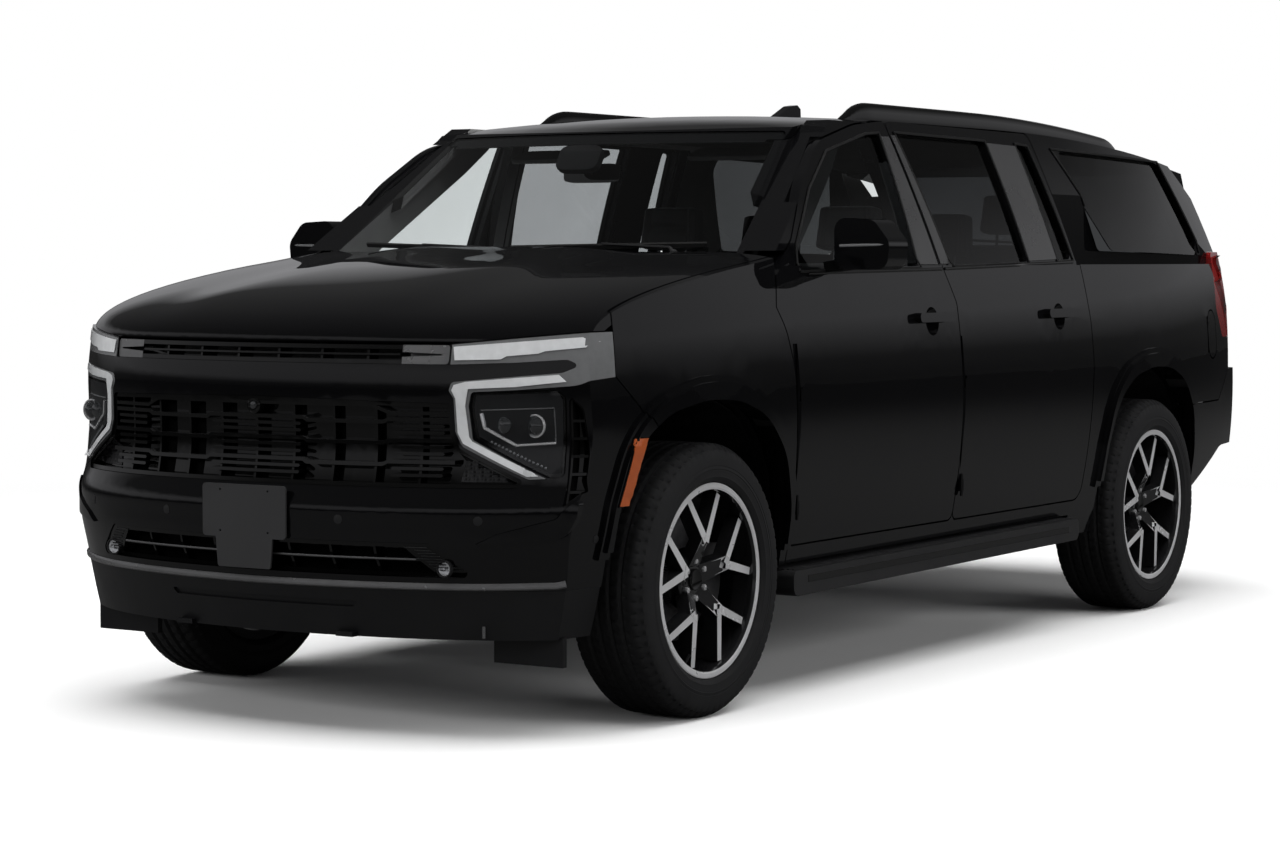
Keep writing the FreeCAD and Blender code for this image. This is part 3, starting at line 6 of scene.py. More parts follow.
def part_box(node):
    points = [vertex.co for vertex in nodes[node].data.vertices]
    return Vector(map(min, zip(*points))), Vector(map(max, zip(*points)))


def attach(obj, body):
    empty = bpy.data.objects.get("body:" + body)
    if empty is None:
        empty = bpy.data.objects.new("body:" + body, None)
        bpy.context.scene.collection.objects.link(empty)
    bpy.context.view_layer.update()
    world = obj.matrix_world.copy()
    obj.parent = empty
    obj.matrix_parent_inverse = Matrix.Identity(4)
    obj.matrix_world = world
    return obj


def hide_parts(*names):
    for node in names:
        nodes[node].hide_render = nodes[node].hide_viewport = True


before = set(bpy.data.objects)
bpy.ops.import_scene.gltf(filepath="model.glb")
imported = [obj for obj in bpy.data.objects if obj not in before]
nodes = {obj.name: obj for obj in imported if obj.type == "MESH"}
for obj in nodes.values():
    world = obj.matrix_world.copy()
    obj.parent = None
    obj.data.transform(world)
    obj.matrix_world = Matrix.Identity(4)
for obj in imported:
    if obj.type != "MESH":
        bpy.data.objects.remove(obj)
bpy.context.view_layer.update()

scene = bpy.context.scene
mats = {}
sides = ((1, "left"), (-1, "right"))
along_x, along_y, along_z = Vector((1, 0, 0)), Vector((0, 1, 0)), Vector((0, 0, 1))

# Driving places in metres: axles, hub height, hub distance from the middle
axle_f, axle_r = -1.8815, 1.5255
hub_z, hub_x = 0.417, 0.87
wheels = {"front_left": (hub_x, axle_f), "front_right": (-hub_x, axle_f),
          "rear_left": (hub_x, axle_r), "rear_right": (-hub_x, axle_r)}

# Door shut lines along the vehicle, in millimetres: front, middle, rear
y_f0, y_b, y_c = -1376.5, -200.5, 908.5
belt_z = 1.36

# Rays start this far out, beyond the ends and beyond the sides
end_reach, side_reach, above = 3.6, 1.6, 3.0


# Node helpers for materials
def tune(node, **values):
    """Set properties or inputs of a node; an underscore in an input's name stands for a space."""
    for key, value in values.items():
        if hasattr(node, key):
            setattr(node, key, value)
        else:
            node.inputs[key.replace("_", " ")].default_value = value
    return node


def add(nt, kind, **values):
    return tune(nt.nodes.new(kind), **values)


def new_mat(name):
    m = bpy.data.materials.new(name)
    m.use_nodes = True
    mats[name] = m
    return m, m.node_tree, m.node_tree.nodes["Principled BSDF"]


def link(nt, a, b):
    nt.links.new(a, b)


def ramp(nt, source, stops):
    r = add(nt, "ShaderNodeValToRGB")
    el = r.color_ramp.elements
    while len(el) < len(stops):
        el.new(0.5)
    for e, (pos, col) in zip(el, stops):
        e.position = pos
        e.color = (*col, 1)
    link(nt, source, r.inputs["Fac"])
    return r.outputs["Color"]


def obj_coords(nt):
    return add(nt, "ShaderNodeTexCoord").outputs["Object"]


def noise_tex(nt, scale, detail, rough, coords):
    n = add(nt, "ShaderNodeTexNoise", Scale=scale, Detail=detail, Roughness=rough)
    link(nt, coords, n.inputs["Vector"])
    return n.outputs["Fac"]


def cells(nt, scale, coords, **values):
    v = add(nt, "ShaderNodeTexVoronoi", Scale=scale, **values)
    link(nt, coords, v.inputs["Vector"])
    return v.outputs["Distance"]


def bump(nt, height, socket, strength, distance):
    b = add(nt, "ShaderNodeBump", Strength=strength, Distance=distance)
    link(nt, height, b.inputs["Height"])
    link(nt, b.outputs["Normal"], socket)


def grained(name, dark, light, rough, grain=900.0, depth=0.25, metallic=0.0, coat=0.0, coat_rough=0.03,
            broad=6.0, spread=0.05, specular=0.5):
    """Surface with fine grain, slight colour variation and patches of different gloss."""
    m, nt, b = new_mat(name)
    co = obj_coords(nt)
    wide = noise_tex(nt, broad, 4, 0.6, co)
    link(nt, ramp(nt, wide, [(0.3, dark), (0.7, light)]), b.inputs["Base Color"])
    r = add(nt, "ShaderNodeMapRange", From_Min=0.3, From_Max=0.7,
            To_Min=max(rough - spread, 0.01), To_Max=min(rough + spread, 1))
    link(nt, wide, r.inputs["Value"])
    link(nt, r.outputs["Result"], b.inputs["Roughness"])
    tune(b, Metallic=metallic, Coat_Weight=coat, Coat_Roughness=coat_rough, Specular_IOR_Level=specular)
    if depth:
        bump(nt, noise_tex(nt, grain, 2, 0.5, co), b.inputs["Normal"], depth, 0.0006)


def paint(name, dark, light, flake):
    """Clear-coated black paint: faint flake in the base, barely visible orange peel in the coat."""
    m, nt, b = new_mat(name)
    co = obj_coords(nt)
    flakes = cells(nt, 1400.0, co)
    link(nt, ramp(nt, flakes, [(0.05, light), (0.5, dark)]), b.inputs["Base Color"])
    tune(b, Roughness=0.45, Metallic=flake, Specular_IOR_Level=0.0, Coat_Weight=1.0, Coat_Roughness=0.015)
    bump(nt, noise_tex(nt, 160, 1, 0.4, co), b.inputs["Coat Normal"], 0.02, 0.0004)


def clear_glass(name, tint, density):
    """Thin pane: part of the light goes through tinted, the rest is reflected by Fresnel."""
    m, nt, b = new_mat(name)
    nt.nodes.remove(b)
    clear = add(nt, "ShaderNodeBsdfTransparent")
    smear = noise_tex(nt, 3.0, 3, 0.6, obj_coords(nt))
    deeper = tuple(c * (1 - density) for c in tint)
    link(nt, ramp(nt, smear, [(0.3, deeper), (0.7, tint)]), clear.inputs["Color"])
    gloss = add(nt, "ShaderNodeBsdfGlossy", Roughness=0.0)
    fres = add(nt, "ShaderNodeFresnel", IOR=1.45)
    side = add(nt, "ShaderNodeNewGeometry")
    front = add(nt, "ShaderNodeMath", operation="SUBTRACT")
    front.inputs[0].default_value = 1.0
    link(nt, side.outputs["Backfacing"], front.inputs[1])
    share = add(nt, "ShaderNodeMath", operation="MULTIPLY")
    link(nt, fres.outputs["Fac"], share.inputs[0])
    link(nt, front.outputs["Value"], share.inputs[1])
    blend(nt, share.outputs["Value"], clear.outputs["BSDF"], gloss.outputs["BSDF"])


def blend(nt, factor, first, second, output=None):
    """Mix two shaders by a factor into the Surface of the material's or another output node."""
    output = output or nt.nodes["Material Output"]
    mix = add(nt, "ShaderNodeMixShader")
    link(nt, factor, mix.inputs["Fac"])
    link(nt, first, mix.inputs[1])
    link(nt, second, mix.inputs[2])
    link(nt, mix.outputs["Shader"], output.inputs["Surface"])


def leather(name, dark, light, scale=420.0):
    m, nt, b = new_mat(name)
    co = obj_coords(nt)
    wide = noise_tex(nt, 9, 4, 0.6, co)
    link(nt, ramp(nt, wide, [(0.3, dark), (0.7, light)]), b.inputs["Base Color"])
    tune(b, Roughness=0.48, Sheen_Weight=0.1)
    bump(nt, cells(nt, scale, co, feature="DISTANCE_TO_EDGE"), b.inputs["Normal"], 0.35, 0.0012)


def holed_plate(name):
    """Gloss black plate with rows of round holes; the holes are not cut but painted near-black as shade, with
    a bump.
    """
    m, nt, b = new_mat(name)
    holes = cells(nt, 95.0, obj_coords(nt), Randomness=0.0)
    painted_hole_shade = [(0.30, (0.0005, 0.0005, 0.0005)), (0.36, (0.02, 0.02, 0.021))]
    link(nt, ramp(nt, holes, painted_hole_shade), b.inputs["Base Color"])
    tune(b, Roughness=0.3)
    bump(nt, holes, b.inputs["Normal"], 0.8, 0.003)


def lamp_plastic(name, color, rough=0.2):
    m, nt, b = new_mat(name)
    n = noise_tex(nt, 40, 2, 0.5, obj_coords(nt))
    link(nt, ramp(nt, n, [(0.3, tuple(c * 0.9 for c in color)), (0.7, color)]), b.inputs["Base Color"])
    tune(b, Roughness=rough, Coat_Weight=0.6)


paint("black_paint", (0.0018, 0.0018, 0.0021), (0.0035, 0.0035, 0.004), 0.1)
paint("gloss_black", (0.002, 0.002, 0.002), (0.003, 0.003, 0.003), 0.0)
grained("matte_plastic", (0.010, 0.010, 0.0105), (0.016, 0.016, 0.0165), 0.5, 1100, 0.3)
grained("dark_plastic", (0.004, 0.004, 0.0045), (0.007, 0.007, 0.0075), 0.42, 1100, 0.2)
grained("pillar_trim", (0.03, 0.03, 0.031), (0.036, 0.036, 0.037), 0.3, 800, 0.05, coat=0.3, coat_rough=0.15)
grained("plate_grey", (0.028, 0.028, 0.029), (0.034, 0.034, 0.035), 0.55, 700, 0.3)
grained("rubber", (0.007, 0.007, 0.0075), (0.012, 0.012, 0.0125), 0.62, 500, 0.25, broad=12)
grained("seal_rubber", (0.006, 0.006, 0.006), (0.01, 0.01, 0.01), 0.55, 900, 0.15)
grained("chassis_black", (0.008, 0.008, 0.008), (0.02, 0.019, 0.018), 0.6, 260, 0.5, broad=14)
grained("cast_metal", (0.06, 0.06, 0.062), (0.12, 0.12, 0.122), 0.5, 300, 0.5, metallic=0.8, broad=20)
grained("satin_chrome", (0.14, 0.14, 0.143), (0.18, 0.18, 0.183), 0.25, 700, 0.03, metallic=0.6)
grained("bright_chrome", (0.6, 0.6, 0.61), (0.68, 0.68, 0.69), 0.1, 700, 0.0, metallic=0.7, spread=0.02)
grained("machined_alloy", (0.62, 0.62, 0.63), (0.72, 0.72, 0.73), 0.3, 1500, 0.08, metallic=0.45)
grained("wheel_black", (0.006, 0.006, 0.0065), (0.01, 0.01, 0.0105), 0.22, 900, 0.02, coat=0.8,
        coat_rough=0.05)
grained("disc_metal", (0.18, 0.18, 0.185), (0.3, 0.3, 0.31), 0.36, 600, 0.2, metallic=1.0, broad=30)
grained("headliner", (0.2, 0.2, 0.2), (0.24, 0.24, 0.235), 0.9, 600, 0.6)
grained("carpet", (0.012, 0.012, 0.012), (0.022, 0.022, 0.022), 0.95, 700, 0.9)
grained("exhaust_steel", (0.2, 0.19, 0.18), (0.34, 0.33, 0.31), 0.35, 300, 0.25, metallic=0.9, broad=8)
# Near-black matte stand-in for shade: painted shade on the grille post sides and on the sheets behind the
# bars
grained("void_black", (0.0006, 0.0006, 0.0006), (0.001, 0.001, 0.001), 0.9, 300, 0.3, specular=0.05)
# Lighter satin for the tops of the grille bars: a painted highlight
grained("bar_edge", (0.02, 0.02, 0.0205), (0.03, 0.03, 0.0305), 0.25, 700, 0.05, coat=0.5, coat_rough=0.05)
leather("seat_leather", (0.008, 0.008, 0.0085), (0.014, 0.014, 0.0145))
leather("dash_leather", (0.009, 0.009, 0.0095), (0.015, 0.015, 0.0155), 520)
grained("mirror_silver", (0.7, 0.71, 0.72), (0.74, 0.75, 0.76), 0.03, 700, 0.0, metallic=1.0, spread=0.01)
grained("seam_thread", (0.05, 0.05, 0.05), (0.09, 0.09, 0.09), 0.7, 1500, 0.3)
grained("lens_dark", (0.01, 0.011, 0.012), (0.02, 0.021, 0.022), 0.04, 700, 0.0, coat=1.0, coat_rough=0.01,
        spread=0.01)
holed_plate("mesh_black")
clear_glass("front_glass", (0.95, 0.96, 0.96), 0.01)
clear_glass("door_glass", (0.88, 0.9, 0.9), 0.02)
clear_glass("rear_door_tint", (0.6, 0.61, 0.62), 0.04)
clear_glass("privacy_glass", (0.22, 0.225, 0.23), 0.06)
clear_glass("tail_lens", (0.75, 0.12, 0.11), 0.05)
clear_glass("lens_clear", (0.93, 0.94, 0.95), 0.01)
lamp_plastic("day_light", (0.62, 0.63, 0.64))
lamp_plastic("lamp_grey", (0.12, 0.122, 0.125), 0.16)
lamp_plastic("tail_red", (0.16, 0.006, 0.006), 0.15)
lamp_plastic("amber", (0.36, 0.075, 0.016), 0.25)


# Finish of the frame's own pieces, by the start of their names
def paint_faces(name, base, rules=()):
    """rules: (material, test(centre, normal)) pairs; the first that fits colours the face."""
    me = nodes[name].data
    me.materials.clear()
    me.materials.append(mats[base])
    for mat, _ in rules:
        me.materials.append(mats[mat])
    for poly in me.polygons:
        poly.material_index = 0
        for i, (_, test) in enumerate(rules):
            if test(poly.center, poly.normal):
                poly.material_index = i + 1
                break


looks = {
    "black_paint": ("body_side", "front_door", "rear_door", "fenders", "front_bumper", "hood", "roof_panel",
                    "fuel_door", "liftgate", "rear_bumper", "mirror"),
    "gloss_black": ("headlamps", "grilles", "roof_rails"),
    "matte_plastic": ("cowl", "running_boards"),
    "dark_plastic": ("front_valance", "wheel_liners"),
    "chassis_black": ("hitch_receiver", "chassis_frame", "powertrain", "radiator", "front_suspension",
                      "rear_suspension"),
    "front_glass": ("windshield",), "door_glass": ("front_door_glass",),
    "rear_door_tint": ("rear_door_glass",),
    "privacy_glass": ("quarter_glass", "rear_glass"),
    "dash_leather": ("dashboard", "steering_wheel"),
    "seat_leather": ("front_seats", "middle_seats", "third_seats"),
    "day_light": ("daytime_lamps",), "tail_red": ("tail_lamps",), "plate_grey": ("plate_bracket",),
    "carpet": ("floor_pan",), "rubber": ("tyre",), "wheel_black": ("wheel",), "cast_metal": ("knuckle",),
    "exhaust_steel": ("exhaust",)}
finish_of = {start: mat for mat, starts in looks.items() for start in starts}
for name in nodes:
    longest = max((start for start in finish_of if name.startswith(start)), key=len)
    paint_faces(name, finish_of[longest])


# Mesh helpers
def join(name, parts, mat, body="vehicle", smooth=True):
    """Several (verts, faces) lists as one piece that rides on a body."""
    verts, faces = [], []
    for v, f in parts:
        k = len(verts)
        verts += [tuple(p) for p in v]
        faces += [tuple(i + k for i in q) for q in f]
    me = bpy.data.meshes.new(name)
    me.from_pydata(verts, [], faces)
    me.validate()
    me.update()
    if smooth:
        soften(me, 32)
    me.materials.append(mats[mat])
    return place(name, me, body)


def soften(me, degrees):
    me.polygons.foreach_set("use_smooth", [True] * len(me.polygons))
    me.set_sharp_from_angle(angle=math.radians(degrees))


def place(name, me, body):
    ob = bpy.data.objects.new(name, me)
    scene.collection.objects.link(ob)
    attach(ob, body)
    return ob


def loft(rings, around=False):
    """Skin over rings of equal length: a capped tube, or open profiles joined all the way around."""
    n, rows = len(rings[0]), len(rings)
    verts = [Vector(p) for r in rings for p in r]
    faces = []
    for i in range(rows if around else rows - 1):
        a, b = i * n, ((i + 1) % rows) * n
        for j in range(n - 1 if around else n):
            k = (j + 1) % n
            faces.append((a + j, a + k, b + k, b + j))
    if not around:
        faces.append(tuple(reversed(range(n))))
        faces.append(tuple((rows - 1) * n + j for j in range(n)))
    return verts, faces


def frame_of(d, hint=along_z):
    d = d.normalized()
    u = d.cross(hint)
    if u.length < 1e-4:
        u = d.cross(along_x)
    u.normalize()
    return u, u.cross(d).normalized()


def sweep(points, profile, hint=along_z):
    """Profile (across, up) carried along points."""
    pts = [Vector(p) for p in points]
    rings = []
    for i, p in enumerate(pts):
        a, b = pts[max(i - 1, 0)], pts[min(i + 1, len(pts) - 1)]
        u, v = frame_of(b - a, hint)
        rings.append([p + u * s + v * t for s, t in profile])
    return loft(rings)


def turns(n):
    """Angles of n equal steps of a full turn."""
    return [2 * math.pi * k / n for k in range(n)]


def oval(w, h, n=12):
    return [(w * math.cos(a), h * math.sin(a)) for a in turns(n)]


def circle(r, n=12):
    return oval(r, r, n)


def power(value, exponent):
    """Signed power, which makes an ellipse squarer."""
    return math.copysign(abs(value) ** exponent, value)


def slab_profile(w, h, r=0.3):
    """Flat strip with softened edges: half width w, thickness h above the surface."""
    return [(-w, 0), (-w, h * (1 - r)), (-w * 0.86, h), (w * 0.86, h), (w, h * (1 - r)), (w, 0)]


def smooth_line(points, steps=6):
    """Catmull-Rom through the points."""
    p = [Vector(q) for q in points]
    out = []
    for i in range(len(p) - 1):
        a, b, c, d = p[max(i - 1, 0)], p[i], p[i + 1], p[min(i + 2, len(p) - 1)]
        for k in range(steps):
            t = k / steps
            square = (2 * a - 5 * b + 4 * c - d) * t * t
            out.append(0.5 * (2 * b + (c - a) * t + square + (3 * b - a - 3 * c + d) * t ** 3))
    out.append(p[-1])
    return out


def dense(points, step=0.02):
    """Straight runs divided into short ones."""
    out = []
    for a, b in zip(points, points[1:]):
        a, b = Vector(a), Vector(b)
        n = max(1, int((b - a).length / step))
        out += [a + (b - a) * (k / n) for k in range(n)]
    out.append(Vector(points[-1]))
    return out


def revolve(profile, centre, steps, axis="y", sign=1):
    """profile: (along axis, radius); both ends may lie on the axis."""
    cx, cy, cz = centre
    rings = []
    for a in turns(steps):
        c, s = math.cos(a), math.sin(a)
        spots = {"x": lambda h, r: (cx + sign * h, cy + r * c, cz + r * s),
                 "y": lambda h, r: (cx + r * c, cy + sign * h, cz + r * s),
                 "z": lambda h, r: (cx + r * c, cy + r * s, cz + sign * h)}
        rings.append([Vector(spots[axis](h, r)) for h, r in profile])
    v, f = loft(rings, True)
    return v, flipped(f) if sign < 0 else f


def flipped(faces):
    return [tuple(reversed(q)) for q in faces]


def stepped_disc(spot, steps, n):
    """Round disc on a surface; spot is (place, normal) and steps are (radius, height)."""
    p, normal = spot
    u, v = frame_of(normal)
    return loft([[p + normal * up + u * (r * math.cos(a)) + v * (r * math.sin(a)) for a in turns(n)]
                 for r, up in steps])


def hit(names, origin, direction):
    """First point and normal that a ray meets on the named pieces of the frame."""
    best = None
    o, d = Vector(origin), Vector(direction).normalized()
    for n in names:
        ok, p, nor, _ = nodes[n].ray_cast(o, d)
        if ok and (best is None or (p - o).length < (best[0] - o).length):
            best = (p.copy(), nor.copy())
    return best


def viewer(view, s=1):
    """Direction from the vehicle to someone who looks at its front, back or side s."""
    return {"front": -along_y, "back": along_y, "side": s * along_x}[view]


def seen(names, view, s, a, b):
    """First point and normal at a place (a, b), in metres, of a view."""
    toward = viewer(view, s)
    start = (s * side_reach, a, b) if view == "side" else (s * a, end_reach * toward.y, b)
    return hit(names, start, -toward)


def on_front(names, x, z, out=0.0):
    h = seen(names, "front", 1, x, z)
    return h[0] - along_y * out if h else None


def even_depth(known):
    """Quadratic surface through the hits, leaving out those that fell into a rebate. known: (a, b, depth)."""
    kept = known
    for limit in (0.006, 0.003):
        depths = np.array([d for _, _, d in kept])
        rows = np.array([[1, a, b, a * a, b * b, a * b] for a, b, _ in kept])
        fit = np.linalg.lstsq(rows, depths, rcond=None)[0]
        off = rows @ fit - depths
        mid = float(np.median(off))
        better = [k for k, o in zip(kept, off) if abs(o - mid) < limit]
        if len(better) < 8:
            break
        kept = better
    return lambda a, b: float(np.dot(fit, [1, a, b, a * a, b * b, a * b]))


def cut_sheet(outline, step):
    """Flat sheet in the xz plane with the outline, cut into cells of one step."""
    bm = bmesh.new()
    flat = [(a / 1000, b / 1000) for a, b in outline]
    bm.faces.new([bm.verts.new((a, 0, b)) for a, b in flat])
    for values, normal in zip(zip(*flat), (along_x, along_z)):
        lo, hi = min(values), max(values)
        k = 1
        while lo + k * step < hi - step * 0.3:
            bmesh.ops.bisect_plane(bm, geom=bm.verts[:] + bm.edges[:] + bm.faces[:],
                                   plane_co=normal * (lo + k * step), plane_no=normal)
            k += 1
    bmesh.ops.triangulate(bm, faces=[f for f in bm.faces if len(f.verts) > 4])
    return bm


def patch(name, outline, names, mat, body="vehicle", out=0.001, thick=0.003, step=0.02, view="front",
          both=(1, -1), even=False):
    """Thin shell cut to an outline in mm, (x, z) or from the side (y, z), and laid on the named pieces."""
    for s in both:
        bm = cut_sheet(outline, step)
        known, missed = [], []
        for v in bm.verts:
            a, b = v.co.x, v.co.z
            h = seen(names, view, s, a, b)
            if h:
                known.append((a, b, h[0]))
                v.co = h[0]
            else:
                missed.append((v, a, b))
        if not known:
            bm.free()
            continue
        for v, a, b in missed:
            near = min(known, key=lambda q: (q[0] - a) ** 2 + (q[1] - b) ** 2)[2]
            v.co = Vector((near.x, a, b)) if view == "side" else Vector((s * a, near.y, b))
        if even:
            axis = 0 if view == "side" else 1
            depth = even_depth([(a, b, p[axis]) for a, b, p in known])
            for v in bm.verts:
                v.co[axis] = depth(v.co.y if axis == 0 else s * v.co.x, v.co.z)
        toward = viewer(view, s)
        for v in bm.verts:
            v.co += toward * out
        bm.normal_update()
        if sum(f.normal.dot(toward) for f in bm.faces) < 0:
            bmesh.ops.reverse_faces(bm, faces=bm.faces[:])
        if thick:
            geo = bmesh.ops.extrude_face_region(bm, geom=bm.faces[:])["geom"]
            for v in [g for g in geo if isinstance(g, bmesh.types.BMVert)]:
                v.co += toward * thick
            bmesh.ops.recalc_face_normals(bm, faces=bm.faces[:])
        me = bpy.data.meshes.new(name)
        bm.to_mesh(me)
        bm.free()
        soften(me, 35)
        me.materials.append(mats[mat])
        place(name + ("_" + dict(sides)[s] if len(both) > 1 else ""), me, body)


def laid_line(points, names, s=1, view="front", out=0.0, step=0.02):
    """Points (a, b) in mm laid on a surface, filled in between."""
    run = dense([(a / 1000, 0, b / 1000) for a, b in points], step)
    spots = [seen(names, view, s, p.x, p.z) for p in run]
    return [h[0] + viewer(view, s) * out for h in spots if h]


# Wheels: tyres, nuts, caps, rim rings, valves
def tread(x, phase):
    """Depth of the tread pattern at a place across (x in m) and round (phase in pitches)."""
    groove = 0.0
    for centre, width in ((-0.062, 0.0065), (-0.021, 0.006), (0.021, 0.006), (0.062, 0.0065)):
        if abs(x - centre) < width:
            groove = 0.007
    lane = int((x + 0.2) / 0.0415)
    p = (phase + (0.35 if lane % 2 else 0.0) + abs(x) * 9) % 1.0
    if abs(x) > 0.072 and p < 0.16:
        groove = max(groove, 0.005)
    if 0.028 < abs(x) < 0.055 and p < 0.10:
        groove = max(groove, 0.004)
    if abs(x) < 0.014 and p < 0.07:
        groove = max(groove, 0.002)
    return groove


def tyre_mesh(cx, cy, side):
    """Tyre with grooved tread, shoulder blocks, sidewall ridges and a rim protector."""
    crown_r, half_tread, columns, steps, pitches = 0.4167, 0.118, 29, 360, 72
    section = []
    for k in range(columns + 1):
        u = -half_tread + 2 * half_tread * k / columns
        shoulder = 0.014 * max(0.0, (abs(u) - 0.098) / 0.02) ** 2
        section.append((u, crown_r - 0.0016 * (u / 0.1) ** 2 - shoulder, True))
    wall = [(0.1265, 0.3955), (0.1300, 0.388), (0.1325, 0.376), (0.1345, 0.362), (0.1355, 0.348),
            (0.1345, 0.347), (0.1362, 0.338), (0.1350, 0.336), (0.1352, 0.330), (0.1330, 0.318),
            (0.1335, 0.314), (0.1290, 0.306), (0.1245, 0.3005), (0.1180, 0.2985)]
    outline = [(-a, r, False) for a, r in reversed(wall)] + section + [(a, r, False) for a, r in wall]
    rings = []
    for k, a in enumerate(turns(steps)):
        phase = (k / steps * pitches) % 1.0
        ring = []
        for u, r, block in outline:
            if block:
                r -= tread(u, phase)
            elif r > 0.386 and phase < 0.17:
                r -= 0.004
            ring.append(Vector((cx + side * u, cy + r * math.cos(a), hub_z + r * math.sin(a))))
        rings.append(ring)
    v, f = loft(rings, True)
    return v, flipped(f) if side < 0 else f


nut_profile = [(0.054, 0.0), (0.054, 0.0115), (0.066, 0.0115), (0.0725, 0.009), (0.074, 0.0)]
cap_profile = [(0.05, 0.0335), (0.0675, 0.0335), (0.0695, 0.031), (0.0685, 0.029), (0.0685, 0.0)]
rim_profile = [(0.1195, 0.2785), (0.1215, 0.2805), (0.1215, 0.2935), (0.1195, 0.2952), (0.1185, 0.2942),
               (0.1185, 0.2795)]
nut_circle_r, valve_r = 0.057, 0.268
valve_angle = math.radians(245)
for corner, (cx, cy) in wheels.items():
    side = 1 if cx > 0 else -1
    body = "wheel_" + corner
    ob = join("tyre_tread_" + corner, [tyre_mesh(cx, cy, side)], "rubber", body)
    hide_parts("tyre_" + corner)

    # Machined faces on the alloy, by place and direction
    def front_face(c, n):
        r = math.hypot(c.y - cy, c.z - hub_z)
        return n.x * side > 0.86 and (c.x - cx) * side > 0.085 and r > 0.108

    def disc_face(c, n):
        r = math.hypot(c.y - cy, c.z - hub_z)
        return -0.04 < (c.x - cx) * side < 0.012 and 0.08 < r < 0.2

    paint_faces(body, "wheel_black", [("machined_alloy", front_face), ("disc_metal", disc_face)])
    nuts = []
    for a in [math.radians(60 * k + 30) for k in range(6)]:
        centre = (cx, cy + nut_circle_r * math.cos(a), hub_z + nut_circle_r * math.sin(a))
        nuts.append(revolve(nut_profile, centre, 6, "x", side))
    join("lug_nuts_" + corner, nuts, "bright_chrome", body, False)
    hub = (cx, cy, hub_z)
    join("hub_cap_" + corner, [revolve(cap_profile, hub, 40, "x", side)], "gloss_black", body)
    join("rim_ring_" + corner, [revolve(rim_profile, hub, 96, "x", side)], "machined_alloy", body)
    c, s = math.cos(valve_angle), math.sin(valve_angle)
    d = Vector((0.32 * side, -c, -s)).normalized()
    start = Vector((cx + 0.098 * side, cy + valve_r * c, hub_z + valve_r * s))
    stem = sweep([start, start + d * 0.012, start + d * 0.0125, start + d * 0.034], circle(0.0042, 10))
    join("valve_" + corner, [stem], "rubber", body)

# Daytime lamps: white guides inside a grey lens band. Front-view outlines are (x, z) in millimetres
paint_faces("daytime_lamps", "lamp_grey")
patch("day_guide_top", [(640, 1098), (634, 1136), (780, 1149), (930, 1163), (948, 1150), (938, 1134),
                        (856, 1124), (842, 1117), (770, 1110), (757, 1101)], ["daytime_lamps"], "day_light")
patch("day_guide_low", [(889, 1057), (672, 1037), (642, 1028), (636, 1013), (647, 989), (651, 892),
                        (665, 862), (826, 768), (856, 770), (688, 868), (680, 880), (671, 968), (679, 1017),
                        (795, 1023), (905, 1037)], ["daytime_lamps"], "day_light")

# Lamp units behind a clear cover
lamp = ["headlamps"]
patch("lamp_bezel", [(694, 998), (884, 1006), (893, 985), (893, 776), (872, 776), (700, 882), (690, 962)],
      lamp, "dark_plastic", out=0.0, thick=0.002)
ring_profile = [(0.0, 0.032), (0.008, 0.034), (0.010, 0.030), (0.006, 0.027)]
dome_profile = [(0.004, 0.0275), (0.012, 0.024), (0.018, 0.017), (0.021, 0.009), (0.022, 0.0)]
second_profile = [(0.0, 0.024), (0.006, 0.024), (0.010, 0.016), (0.012, 0.0)]
bead_profile = [(0.0, 0.0042), (0.003, 0.0036), (0.0048, 0.0)]
for s, label in sides:
    line = laid_line([(708, 948), (716, 906), (793, 856), (878, 862)], lamp, s, out=0.004, step=0.008)
    join("lamp_accent_" + label, [sweep(line, oval(0.0045, 0.009, 10), along_y)], "bright_chrome")
    line = laid_line([(706, 956), (876, 962), (878, 862)], lamp, s, out=0.003, step=0.01)
    join("lamp_edge_" + label, [sweep(line, circle(0.0022, 8))], "satin_chrome")
    centre = on_front(lamp, s * 0.838, 0.912, 0.006)
    join("projector_ring_" + label, [revolve(ring_profile, centre, 36, sign=-1)], "bright_chrome")
    join("projector_lens_" + label, [revolve(dome_profile, centre, 36, sign=-1)], "lens_dark")
    second = on_front(lamp, s * 0.765, 0.915, 0.006)
    join("second_lens_" + label, [revolve(second_profile, second, 28, sign=-1)], "lens_dark")
    row = [on_front(lamp, s * (0.733 + 0.127 * t), 0.866 - 0.074 * t, 0.003)
           for t in [k / 14 for k in range(15)]]
    beads = [revolve(bead_profile, at, 8, sign=-1) for at in row if at]
    join("lamp_beads_" + label, beads, "lamp_grey")
patch("lamp_cover", [(691, 1002), (795, 1008), (884, 1012), (900, 990), (901, 768), (870, 769), (694, 877),
                     (686, 968)], lamp, "lens_clear", out=0.0105, thick=0.0)


# Grille: silver end blocks above, mesh in the lower corners, camera, fog lamps, sensors; painted shade on the
# post sides and near-black sheets behind the bars, painted highlights on the bar tops
def silver(c, n):
    return 0.484 < abs(c.x) < 0.618 and c.z > 1.086 and n.y < -0.3


# Upward faces of the grille bars, which get a lighter painted highlight
def highlighted_bar_top(c, n):
    return n.z > 0.6 and 0.76 < c.z < 1.13 and abs(c.x) < 0.63


# Side faces of the grille posts, which get near-black painted shade
def shaded_post_side(c, n):
    return abs(n.x) > 0.7 and abs(c.x) < 0.64


grille = ["grilles"]
shade_sheet_depth = 0.07
# Post sides get near-black painted shade; upward bar faces get a lighter painted highlight
paint_faces("grilles", "gloss_black",
            [("void_black", shaded_post_side), ("satin_chrome", silver), ("bar_edge", highlighted_bar_top)])
